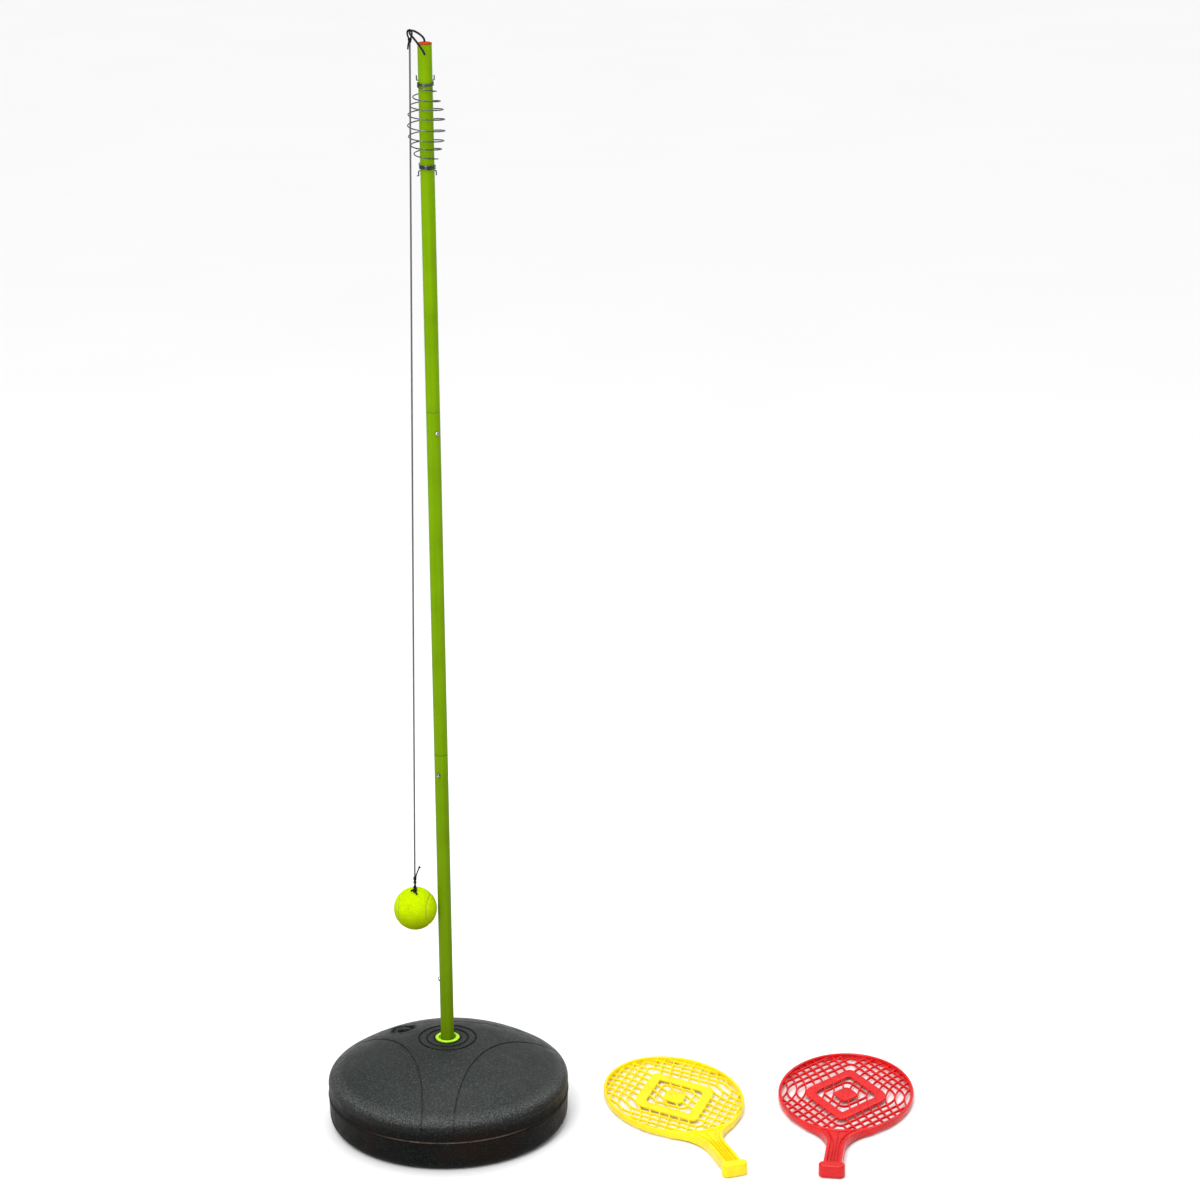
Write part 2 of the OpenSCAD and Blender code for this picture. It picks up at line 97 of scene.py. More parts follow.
# ---------------------------------------------------------------- meshes
def add_mesh(name, verts, faces, smooth=True):
    """New mesh object with its normals turned outwards."""
    mesh = bpy.data.meshes.new(name)
    mesh.from_pydata([tuple(v) for v in verts], [], faces)
    bm = bmesh.new()
    bm.from_mesh(mesh)
    bmesh.ops.recalc_face_normals(bm, faces=bm.faces)
    bm.to_mesh(mesh)
    bm.free()
    if smooth:
        mesh.shade_smooth()
    return new_object(name, mesh)


def from_bmesh(name, bm):
    """Object out of a bmesh, which is freed."""
    mesh = bpy.data.meshes.new(name)
    bm.to_mesh(mesh)
    bm.free()
    return new_object(name, mesh)


def apply_modifiers(obj):
    """Replaces the mesh by its evaluated one."""
    bpy.context.view_layer.update()
    graph = bpy.context.evaluated_depsgraph_get()
    mesh = bpy.data.meshes.new_from_object(obj.evaluated_get(graph))
    obj.modifiers.clear()
    obj.data = mesh


def cut(obj, cutters, joined=()):
    """Adds the joined solids to obj, takes the cutters out of it, and deletes both."""
    for kind, tools in (("UNION", joined), ("DIFFERENCE", cutters)):
        for tool in tools:
            mod = obj.modifiers.new("cut", "BOOLEAN")
            mod.operation, mod.solver, mod.object = kind, "EXACT", tool
    apply_modifiers(obj)
    for tool in (*joined, *cutters):
        bpy.data.objects.remove(tool)


def join(name, parts):
    """One object out of several meshes."""
    bm = bmesh.new()
    for p in parts:
        p.data.transform(p.matrix_world)
        bm.from_mesh(p.data)
        bpy.data.objects.remove(p)
    return from_bmesh(name, bm)


def quads(rows, m, closed=False):
    """Faces between neighbouring rows of m points, where each row is a closed loop."""
    faces = []
    for i in range(rows if closed else rows - 1):
        j = (i + 1) % rows
        for k in range(m):
            q = (k + 1) % m
            faces.append((i * m + k, i * m + q, j * m + q, j * m + k))
    return faces


def lathe(name, profile, segments=96, centre=(0, 0)):
    """Turns a closed outline of (radius, height) points about an upright axis."""
    rings, verts = [], []
    for r, z in profile:
        if r < 1e-7:
            rings.append([len(verts)])
            verts.append((centre[0], centre[1], z))
        else:
            rings.append(list(range(len(verts), len(verts) + segments)))
            for k in range(segments):
                a = TAU * k / segments
                verts.append((centre[0] + r * math.cos(a), centre[1] + r * math.sin(a), z))
    faces = []
    for i, a in enumerate(rings):
        b = rings[(i + 1) % len(rings)]
        if len(a) == len(b) == 1:
            continue
        for k in range(segments):
            n = (k + 1) % segments
            if len(a) == 1:
                faces.append((a[0], b[n], b[k]))
            elif len(b) == 1:
                faces.append((a[k], a[n], b[0]))
            else:
                faces.append((a[k], a[n], b[n], b[k]))
    return add_mesh(name, verts, faces)


def corner(c, r, start, end, steps=5):
    """Points on an arc in the plane, angles in degrees."""
    angles = [math.radians(start + (end - start) * i / steps) for i in range(steps + 1)]
    return [(c[0] + r * math.cos(a), c[1] + r * math.sin(a)) for a in angles]


def spline(points, steps):
    """Smooth curve through the points."""
    pts = [Vector(p) for p in points]
    out = []
    for i in range(len(pts) - 1):
        a, b, c, d = pts[max(i - 1, 0)], pts[i], pts[i + 1], pts[min(i + 2, len(pts) - 1)]
        square, cube = 2 * a - 5 * b + 4 * c - d, 3 * b - a - 3 * c + d
        for t in (k / steps for k in range(steps)):
            out.append(0.5 * (2 * b + (c - a) * t + square * t * t + cube * t**3))
    out.append(pts[-1])
    return out


def rounded_path(points, radius, steps=6):
    """A bent wire's path: straight runs with round corners."""
    pts = [Vector(p) for p in points]
    out = [pts[0]]
    for i in range(1, len(pts) - 1):
        before = (pts[i - 1] - pts[i]).normalized()
        after = (pts[i + 1] - pts[i]).normalized()
        a, b = pts[i] + before * radius, pts[i] + after * radius
        for k in range(steps + 1):
            t = k / steps
            out.append((1 - t) ** 2 * a + 2 * t * (1 - t) * pts[i] + t * t * b)
    out.append(pts[-1])
    return out


def sweep(name, path, section, closed=False, scale=None, up=None):
    """Carries a plane outline along a path. The UV map runs round (U) and along in metres (V)."""
    path = [Vector(p) for p in path]
    n, m = len(path), len(section)
    tangents = []
    for i in range(n):
        a = path[(i - 1) % n] if closed or i > 0 else path[0]
        b = path[(i + 1) % n] if closed or i < n - 1 else path[-1]
        tangents.append((b - a).normalized())
    first = Vector(up) if up else Vector((0, 0, 1))
    if abs(first.dot(tangents[0])) > 0.95:
        first = Vector((1, 0, 0))
    side = (first - tangents[0] * first.dot(tangents[0])).normalized()
    frames = []
    for t in tangents:
        base = Vector(up) if up else side
        side = (base - t * base.dot(t)).normalized()
        frames.append((side, t.cross(side)))
    verts = []
    for i, (u, v) in enumerate(frames):
        s = scale(i / (n - 1)) if scale else 1
        for a, b in section:
            verts.append(path[i] + s * (a * u + b * v))
    faces = quads(n, m, closed)
    if not closed:
        for i in (0, n - 1):
            faces += [(i * m + k, i * m + (k + 1) % m, len(verts)) for k in range(m)]
            verts.append(path[i])
    obj = add_mesh(name, verts, faces)
    uv = obj.data.uv_layers.new(name="along")
    lengths = [0.0]
    for i in range(1, n):
        lengths.append(lengths[-1] + (path[i] - path[i - 1]).length)
    whole = lengths[-1] + (path[0] - path[-1]).length
    for poly in obj.data.polygons:
        ids = [obj.data.loops[q].vertex_index for q in poly.loop_indices]
        ks = [v % m for v in ids if v < n * m]
        rs = [v // m for v in ids if v < n * m]
        for q, v in zip(poly.loop_indices, ids):
            if v >= n * m:
                uv.data[q].uv = (0.5, lengths[rs[0]])
                continue
            k, r = v % m, v // m
            across = (k + m if k == 0 and max(ks) == m - 1 and m > 2 else k) / m
            along = whole if closed and r == 0 and max(rs) == n - 1 else lengths[r]
            uv.data[q].uv = (across, along)
    return obj


def ring_section(r, sides=12):
    return [(r * math.cos(TAU * k / sides), r * math.sin(TAU * k / sides)) for k in range(sides)]


def soft_section(w, h, r, steps=3):
    """Rectangle w across and h high with round corners, as (height, across) points."""
    out = []
    for cx, cy, a in ((1, 1, 0), (-1, 1, 90), (-1, -1, 180), (1, -1, 270)):
        out += corner((cx * (h / 2 - r), cy * (w / 2 - r)), r, a, a + 90, steps)
    return out


def wire(name, path, r, sides=12, closed=False):
    """Round wire or cord with round ends."""
    section = ring_section(r, sides)
    if closed:
        return sweep(name, path, section, closed=True)
    path = [Vector(p) for p in path]
    head, tail = (path[0] - path[1]).normalized(), (path[-1] - path[-2]).normalized()
    caps = [(0.98, 0.2), (0.87, 0.5), (0.6, 0.8), (0.25, 0.97)]
    start = [path[0] + head * r * (b - 1) for _, b in reversed(caps)]
    end = [path[-1] + tail * r * (b - 1) for _, b in caps]
    full = start + path[1:-1] + end
    sizes = [a for a, _ in reversed(caps)] + [1] * (len(path) - 2) + [a for a, _ in caps]
    return sweep(name, full, section, scale=lambda t: sizes[round(t * (len(full) - 1))])


# ---------------------------------------------------------------- materials
class Nodes:
    """Small helper that builds one procedural material."""

    def __init__(self, name, colour, rough=0.5, metallic=0.0, **sockets):
        self.mat = bpy.data.materials.new(name)
        self.mat.use_nodes = True
        self.tree = self.mat.node_tree
        self.bsdf = self.tree.nodes["Principled BSDF"]
        self.bsdf.inputs["Base Color"].default_value = (*colour, 1)
        self.bsdf.inputs["Roughness"].default_value = rough
        self.bsdf.inputs["Metallic"].default_value = metallic
        for key, value in sockets.items():
            self.bsdf.inputs[key.replace("_", " ")].default_value = value
        self.coord = self.add("ShaderNodeTexCoord")
        self.place = self.coord.outputs["Object"]
        self.height = None

    def add(self, kind, **values):
        """New node; a value goes to its input of that name, or else to its property."""
        node = self.tree.nodes.new(kind)
        for key, value in values.items():
            socket = key.replace("_", " ")
            if socket in node.inputs:
                node.inputs[socket].default_value = value
            else:
                setattr(node, key, value)
        return node

    def link(self, a, b):
        self.tree.links.new(a, b)

    def on(self, node, where=None):
        """The node, fed with the object coordinates or another vector."""
        self.link(where or self.place, node.inputs["Vector"])
        return node

    def axes(self, where=None):
        """X, Y and Z of the object coordinates, or of another vector."""
        return self.on(self.add("ShaderNodeSeparateXYZ"), where).outputs

    def stretched(self, scale):
        """The object coordinates scaled along each axis."""
        return self.on(self.add("ShaderNodeMapping", Scale=scale)).outputs["Vector"]

    def noise(self, scale, detail=2.0, rough=0.5, where=None, distortion=0.0):
        node = self.add("ShaderNodeTexNoise", Scale=scale, Detail=detail, Roughness=rough)
        node.inputs["Distortion"].default_value = distortion
        return self.on(node, where).outputs["Fac"]

    def cells(self, scale):
        return self.on(self.add("ShaderNodeTexVoronoi", Scale=scale)).outputs["Distance"]

    def ramp(self, value, stops):
        node = self.add("ShaderNodeValToRGB")
        ramp = node.color_ramp
        while len(ramp.elements) < len(stops):
            ramp.elements.new(0.5)
        for element, (at, colour) in zip(ramp.elements, stops):
            element.position = at
            element.color = (*colour, 1)
        self.link(value, node.inputs["Fac"])
        return node.outputs["Color"]

    def span(self, value, low, high, from_low=0.0, from_high=1.0):
        """The value carried from its own range to low..high, and held at both ends."""
        ends = {"From_Min": from_low, "From_Max": from_high, "To_Min": low, "To_Max": high}
        node = self.add("ShaderNodeMapRange", **ends)
        self.link(value, node.inputs["Value"])
        return node.outputs["Result"]

    def maths(self, kind, a, b=None):
        node = self.add("ShaderNodeMath", operation=kind)
        for socket, value in zip(node.inputs, (a, b)):
            if value is None:
                continue
            if isinstance(value, (int, float)):
                socket.default_value = value
            else:
                self.link(value, socket)
        return node.outputs["Value"]

    def times(self, *factors):
        """The product of values and numbers."""
        out = factors[0]
        for factor in factors[1:]:
            out = self.maths("MULTIPLY", out, factor)
        return out

    def away(self, value, middle):
        """How far the value is from the middle."""
        return self.maths("ABSOLUTE", self.maths("SUBTRACT", value, middle))

    def mix(self, factor, a, b, blend="MIX"):
        node = self.add("ShaderNodeMix", data_type="RGBA", blend_type=blend)
        if isinstance(factor, (int, float)):
            node.inputs["Factor"].default_value = factor
        else:
            self.link(factor, node.inputs["Factor"])
        for socket, value in ((node.inputs[6], a), (node.inputs[7], b)):
            if isinstance(value, tuple):
                socket.default_value = (*value, 1)
            else:
                self.link(value, socket)
        return node.outputs[2]

    def colour(self, socket):
        self.link(socket, self.bsdf.inputs["Base Color"])

    def roughness(self, socket):
        self.link(socket, self.bsdf.inputs["Roughness"])

    def bump(self, height, distance, strength=1.0):
        """Adds a bump of that real height in metres on top of any earlier one."""
        node = self.add("ShaderNodeBump", Strength=strength, Distance=distance)
        self.link(height, node.inputs["Height"])
        if self.height:
            self.link(self.height, node.inputs["Normal"])
        self.height = node.outputs["Normal"]
        self.link(self.height, self.bsdf.inputs["Normal"])


def tint(colour, k):
    return tuple(min(1.0, c * k) for c in colour)


def base_plastic():
    """Charcoal blow-moulded plastic: pebble grain, cloudiness, warm wall, with painted shade on the lower wall and in
    the rings round the flange, and painted highlights on the top's front edge and along the front of the parting line.
    """
    c = (0.0158, 0.0192, 0.0182)
    m = Nodes("base_plastic", c, 0.42, Specular_IOR_Level=0.2)
    _, y, height = m.axes()
    cloud = m.noise(9, 4, 0.6)
    grain = m.noise(460, 3, 0.62)
    pebble = m.cells(640)
    colour = m.ramp(cloud, [(0.3, tint(c, 0.8)), (0.52, c), (0.75, (0.0210, 0.0245, 0.0238))])
    speck = m.ramp(grain, [(0.33, (0.45, 0.45, 0.45)), (0.52, (1, 1, 1)), (0.72, (1.0, 1.0, 1.0))])
    colour = m.mix(0.8, colour, speck, "MULTIPLY")
    light = m.ramp(grain, [(0.54, (0, 0, 0)), (0.68, (0.050, 0.056, 0.053))])
    colour = m.mix(0.8, colour, light, "ADD")
    warm = m.span(height, 1.0, 0.0, 0.050, 0.085)
    blotch = m.ramp(m.noise(14, 3, 0.6), [(0.42, (0, 0, 0)), (0.66, (1, 1, 1))])
    # painted shade: the wall below the lip is made much darker, standing in for the shade on the side of the base
    rise = m.span(height, 0.0, 1.0, 0.056, 0.080)
    low = m.ramp(rise, [(0.0, (0.36, 0.36, 0.35)), (1.0, (1, 1, 1))])
    colour = m.mix(1.0, colour, low, "MULTIPLY")
    colour = m.mix(m.times(warm, blotch, 0.6), colour, (0.0150, 0.0062, 0.0042))
    # painted highlight: a lighter grainy band along the lip, standing in for the light caught by its front
    lip_highlight = m.span(m.away(height, WALL_TOP + 13 * MM), 0.72, 0.0, 0.001, 0.009)
    lip_highlight = m.times(lip_highlight, m.span(grain, 0.0, 1.0, 0.40, 0.62))
    colour = m.mix(lip_highlight, colour, (0.085, 0.094, 0.091))
    # painted shade: the rings round the flange are made near black, standing in for the shade in the grooves and under
    # the flange
    reach = m.add("ShaderNodeVectorMath", operation="LENGTH")
    m.link(m.stretched((1, 1, 0)), reach.inputs[0])
    for ring in (19.4, 31, 42.8):
        groove_shade = m.span(m.away(reach.outputs["Value"], ring * MM), 1.0, 0.0, 0.0008, 0.0021)
        groove_shade = m.times(groove_shade, m.span(height, 0.0, 1.0, 0.126, 0.130), 0.85)
        colour = m.mix(groove_shade, colour, (0.0030, 0.0032, 0.0031))
    # painted highlight: a light reddish line along the parting line, strongest at the front and broken up by noise,
    # standing in for the light caught by the ridge
    line = m.span(m.away(height, PARTING_Z + 1.5 * MM), 1.0, 0.0, 0.0007, 0.0014)
    patchy = m.span(m.noise(90, 4, 0.7), 0.25, 1.0, 0.35, 0.6)
    front_highlight = m.times(patchy, m.span(y, 1.0, 0.12, -0.168, -0.138))
    m.colour(m.mix(m.times(line, front_highlight, 0.8), colour, (0.115, 0.082, 0.074)))
    m.link(m.span(height, 0.03, 0.2, 0.060, 0.080), m.bsdf.inputs["Specular IOR Level"])
    m.roughness(m.span(m.noise(60, 3), 0.36, 0.54, 0.3, 0.7))
    m.bump(pebble, 0.0004, 0.6)
    m.bump(m.noise(700, 3, 0.62), 0.0005, 0.7)
    return m.mat


def pole_paint():
    """Yellow-green powder coat: orange peel, mottling, lengthwise rub marks, and painted shade that makes it darker
    lower down.
    """
    c = (0.182, 0.345, 0.0004)
    m = Nodes("pole_paint", c, 0.4, Specular_IOR_Level=0.04)
    cloud = m.noise(14, 3, 0.55)
    colour = m.ramp(cloud, [(0.3, tint(c, 0.86)), (0.5, c), (0.72, (0.200, 0.372, 0.0006))])
    rub = m.noise(1, 4, 0.65, m.stretched((900, 900, 14)))
    rub_mask = m.ramp(rub, [(0.60, (1, 1, 1)), (0.72, (0.80, 0.84, 0.55))])
    streak = m.noise(1, 3, 0.6, m.stretched((230, 230, 2.5)))
    streak = m.ramp(streak, [(0.36, (0.84, 0.86, 0.7)), (0.56, (1, 1, 1))])
    fleck = m.ramp(m.cells(420), [(0.03, (0.70, 0.78, 0.45)), (0.07, (1, 1, 1))])
    colour = m.mix(0.6, colour, rub_mask, "MULTIPLY")
    colour = m.mix(0.7, colour, streak, "MULTIPLY")
    colour = m.mix(0.45, colour, fleck, "MULTIPLY")
    # painted shade: the paint is made darker towards the foot of the pole
    rise = m.span(m.axes()["Z"], 0.0, 1.0, FLANGE_Z, POLE_TOP)
    dull_and_painted_shade = m.ramp(rise, [(0.0, (0.66, 0.62, 0.9)), (0.55, (0.92, 0.93, 1)), (1.0, (1, 1, 1))])
    m.colour(m.mix(1.0, colour, dull_and_painted_shade, "MULTIPLY"))
    m.roughness(m.span(rub, 0.34, 0.50, 0.35, 0.7))
    m.bump(m.noise(620, 2, 0.5), 0.00014, 0.5)
    m.bump(rub, 0.00003, 0.3)
    return m.mat


def lime_plastic():
    """Bright lime moulded plastic of the socket flange."""
    c = (0.430, 0.780, 0.004)
    m = Nodes("lime_plastic", c, 0.32, Specular_IOR_Level=0.5, Subsurface_Weight=0.08, Subsurface_Scale=0.003)
    colour = m.ramp(m.noise(120, 3), [(0.3, tint(c, 0.84)), (0.6, c), (0.8, (0.50, 0.86, 0.01))])
    m.colour(colour)
    m.roughness(m.span(m.noise(300, 3), 0.26, 0.42, 0.3, 0.7))
    m.bump(m.noise(900, 2), 0.0001, 0.3)
    return m.mat


def bright_steel(name, c=(0.095, 0.097, 0.102), rough=0.11):
    """Bright drawn wire: fine draw lines and patches of rougher finish; its colour has lighter and darker patches,
    which are painted glints and painted shade.
    """
    m = Nodes(name, c, rough, 1.0)
    draw = m.noise(1, 5, 0.7, m.stretched((2600, 2600, 500)))
    dull_and_painted_shade = m.noise(160, 4, 0.6)
    # painted glints and painted shade: the colour swings between much darker and much lighter patches along the wire
    m.colour(m.ramp(dull_and_painted_shade, [(0.32, tint(c, 0.4)), (0.5, c), (0.68, tint(c, 1.7))]))
    m.roughness(m.span(dull_and_painted_shade, rough * 0.8, rough * 2.4, 0.35, 0.75))
    m.bump(draw, 0.00003, 0.35)
    return m.mat


def dull_steel():
    """Plain inner steel: grey, brushed round, slightly stained."""
    c = (0.15, 0.15, 0.16)
    m = Nodes("inner_steel", c, 0.36, 1.0)
    brush = m.noise(1, 4, 0.7, m.stretched((60, 60, 4200)))
    stain = m.noise(55, 4, 0.6)
    m.colour(m.ramp(stain, [(0.3, tint(c, 0.6)), (0.55, c), (0.8, tint(c, 1.15))]))
    m.roughness(m.span(brush, 0.28, 0.5, 0.3, 0.7))
    m.bump(brush, 0.00004, 0.4)
    return m.mat


def red_plastic():
    """Orange-red moulded cap."""
    c = (0.360, 0.036, 0.006)
    m = Nodes("cap_red", c, 0.55, Specular_IOR_Level=0.05)
    m.colour(m.ramp(m.noise(260, 3), [(0.3, tint(c, 0.72)), (0.55, c), (0.8, (0.42, 0.060, 0.010))]))
    m.roughness(m.span(m.noise(500, 3), 0.5, 0.68, 0.3, 0.7))
    m.bump(m.noise(1300, 2), 0.00008, 0.4)
    return m.mat


def black_wire():
    """Plastic-dipped black wire."""
    c = (0.008, 0.008, 0.0085)
    m = Nodes("hook_black", c, 0.45, Specular_IOR_Level=0.15)
    m.colour(m.ramp(m.noise(300, 4), [(0.35, tint(c, 0.6)), (0.6, c), (0.85, (0.024, 0.024, 0.025))]))
    m.roughness(m.span(m.noise(420, 3), 0.36, 0.6, 0.3, 0.7))
    m.bump(m.noise(900, 3), 0.00008, 0.5)
    return m.mat


def braid(name, dark, light, around, pitch, sheen):
    """Braided cord: two families of strands that cross, on the sweep's own UV map."""
    m = Nodes(name, dark, 0.78, Sheen_Weight=sheen, Sheen_Roughness=0.5, Specular_IOR_Level=0.12)
    round_, along, _ = m.axes(m.coord.outputs["UV"])
    turn = m.maths("MULTIPLY", round_, TAU * around)
    run = m.maths("MULTIPLY", along, TAU / pitch)
    one = m.maths("SINE", m.maths("ADD", turn, run))
    two = m.maths("SINE", m.maths("SUBTRACT", turn, run))
    strands = m.maths("MAXIMUM", one, two)
    height = m.span(strands, 0, 1, -0.4, 1)
    fibre = m.noise(3200, 3, 0.7)
    mixed = m.maths("ADD", m.maths("MULTIPLY", height, 0.75), m.maths("MULTIPLY", fibre, 0.25))
    # painted shade and painted highlight: the gaps between the strands are made darker and their crowns lighter,
    # following the relief
    m.colour(m.ramp(mixed, [(0.15, tint(dark, 0.35)), (0.55, dark), (0.95, light)]))
    m.roughness(m.span(fibre, 0.66, 0.92, 0.3, 0.7))
    m.bump(mixed, 0.00022, 0.8)
    return m.mat


def felt_wool():
    """Napped yellow-green felt: clumped fibres, matted patches, darker between the clumps as partly painted shade, and
    painted shade on the lower part of the ball.
    """
    c = (0.520, 0.725, 0.0006)
    m = Nodes("felt", c, 0.95, Sheen_Weight=0.08, Sheen_Roughness=0.4, Specular_IOR_Level=0.02)
    m.bsdf.inputs["Sheen Tint"].default_value = (0.85, 1.0, 0.01, 1)
    clump = m.noise(420, 5, 0.72, distortion=1.6)
    fibre = m.noise(2100, 4, 0.75, distortion=2.5)
    patch = m.noise(45, 3, 0.6)
    # partly the felt's own mottling and partly painted shade: the colour is darker where the clumps' relief is low
    colour = m.ramp(clump, [(0.32, tint(c, 0.66)), (0.52, c), (0.75, (0.62, 0.81, 0.002))])
    patchy = m.ramp(patch, [(0.35, (0.88, 0.90, 0.80)), (0.6, (1, 1, 1))])
    colour = m.mix(0.7, colour, patchy, "MULTIPLY")
    thread = m.ramp(fibre, [(0.4, (0.80, 0.82, 0.6)), (0.6, (1, 1, 1))])
    colour = m.mix(0.6, colour, thread, "MULTIPLY")
    # painted shade: the lower part of the ball is made darker, standing in for the shade under it
    rise = m.span(m.axes()["Z"], 0.0, 1.0, ball_lo.z, ball_hi.z)
    lower_ball_shade = m.ramp(rise, [(0.0, (0.34, 0.31, 0.5)), (0.30, (0.68, 0.66, 0.8)), (0.62, (1, 1, 1))])
    m.colour(m.mix(1.0, colour, lower_ball_shade, "MULTIPLY"))
    m.roughness(m.span(fibre, 0.82, 1.0, 0.3, 0.7))
    m.bump(clump, 0.0007, 0.7)
    m.bump(fibre, 0.0003, 0.8)
    return m.mat


def seam_rubber():
    """Pale rubber bead in the ball's seam."""
    c = (0.380, 0.470, 0.030)
    m = Nodes("ball_seam", c, 0.8, Specular_IOR_Level=0.15)
    m.colour(m.ramp(m.noise(900, 4, 0.7), [(0.3, tint(c, 0.6)), (0.55, c), (0.8, tint(c, 1.2))]))
    m.roughness(m.span(m.noise(700, 3), 0.6, 0.85, 0.3, 0.7))
    m.bump(m.noise(1600, 3), 0.0002, 0.6)
    return m.mat


def black_rubber():
    """Matt grey-black rubber."""
    c = (0.035, 0.035, 0.035)
    m = Nodes("rubber", c, 0.72)
    m.colour(m.ramp(m.noise(240, 4), [(0.3, tint(c, 0.7)), (0.6, c), (0.85, tint(c, 1.6))]))
    m.roughness(m.span(m.noise(500, 3), 0.62, 0.85, 0.3, 0.7))
    m.bump(m.noise(1500, 3), 0.0001, 0.5)
    return m.mat


def bat_plastic(name, c, light):
    """Glossy moulded plastic: flow marks, fine scuffs, slightly see-through edges."""
    m = Nodes(name, c, 0.32, Subsurface_Weight=0.06, Subsurface_Scale=0.003, Specular_IOR_Level=0.32)
    flow = m.noise(22, 4, 0.6, distortion=1.2)
    colour = m.ramp(flow, [(0.3, tint(c, 0.86)), (0.55, c), (0.8, light)])
    scuff = m.noise(1, 5, 0.7, m.stretched((90, 1500, 300)))
    m.colour(m.mix(0.3, colour, m.ramp(scuff, [(0.6, (1, 1, 1)), (0.8, (0.84, 0.84, 0.84))]), "MULTIPLY"))
    m.roughness(m.span(scuff, 0.22, 0.42, 0.35, 0.75))
    m.bump(m.noise(420, 2), 0.00006, 0.3)
    m.bump(scuff, 0.00003, 0.3)
    return m.mat


def floor_paint():
    c = (0.86, 0.86, 0.86)
    m = Nodes("floor", c, 0.6)
    m.colour(m.ramp(m.noise(1.5, 3), [(0.3, (0.85, 0.85, 0.855)), (0.7, c)]))
    return m.mat


MAT = {
    "base": base_plastic(),
    "pole": pole_paint(),
    "lime": lime_plastic(),
    "coil": bright_steel("coil_steel"),
    "button": bright_steel("button_steel", (0.36, 0.365, 0.38), 0.10),
    "inner": dull_steel(),
    "cap": red_plastic(),
    "hook": black_wire(),
    "cord": braid("cord_grey", (0.060, 0.060, 0.062), (0.20, 0.20, 0.205), 4, 0.0042, 0.2),
    "knot": braid("cord_black", (0.0035, 0.0035, 0.0037), (0.018, 0.018, 0.0185), 4, 0.0042, 0.0),
    "felt": felt_wool(),
    "seam": seam_rubber(),
    "rubber": black_rubber(),
    "yellow": bat_plastic("bat_yellow", (0.930, 0.690, 0.001), (0.98, 0.77, 0.005)),
    "red": bat_plastic("bat_red", (0.640, 0.006, 0.008), (0.74, 0.012, 0.012)),
}


def paint(obj, mat):
    """Gives the object that material alone."""
    obj.data.materials.clear()
    obj.data.materials.append(MAT[mat])


def finish_piece(obj, mat, body, slot, *nodes, sharp=None):
    """Material, body and the CAD nodes that the piece stands for; the record slot argument, slot, is not used."""
    paint(obj, mat)
    if sharp:
        obj.data.shade_smooth()
        obj.data.set_sharp_from_angle(angle=math.radians(sharp))
    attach(obj, body)
    if nodes:
        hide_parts(*nodes)
    return obj


# ---------------------------------------------------------------- the cord, its loop and its knots
CORD_R = 1.25 * MM
CORD_ROUTE = [
    (-0.0200, -0.0205, 1.631),
    (-0.0258, -0.0167, 1.320),
    (-0.0316, -0.0129, 1.008),
    (-0.0374, -0.0091, 0.696),
    (-0.0432, -0.0053, 0.385),
]
EYE = Vector((-0.0200, -0.0205, POLE_TOP + 19 * MM))
KNOT_Z = EYE.z - 11 * MM


def overhand(centre, size, tube, squash=1.0, turn=0.0):
    """A pulled-tight knot: one closed strand crossing itself three times."""
    pts = []
    for i in range(72):
        t = TAU * i / 72
        p = Vector(
            (
                math.sin(t) + 2 * math.sin(2 * t),
                math.cos(t) - 2 * math.cos(2 * t),
                -math.sin(3 * t) * 1.15,
            )
        )
        p = Matrix.Rotation(math.pi / 2, 3, "X") @ (p * (size / 3))
        p.z *= squash
        pts.append(Vector(centre) + Matrix.Rotation(turn, 3, "Z") @ p)
    return wire("knot", pts, tube, 10, closed=True)


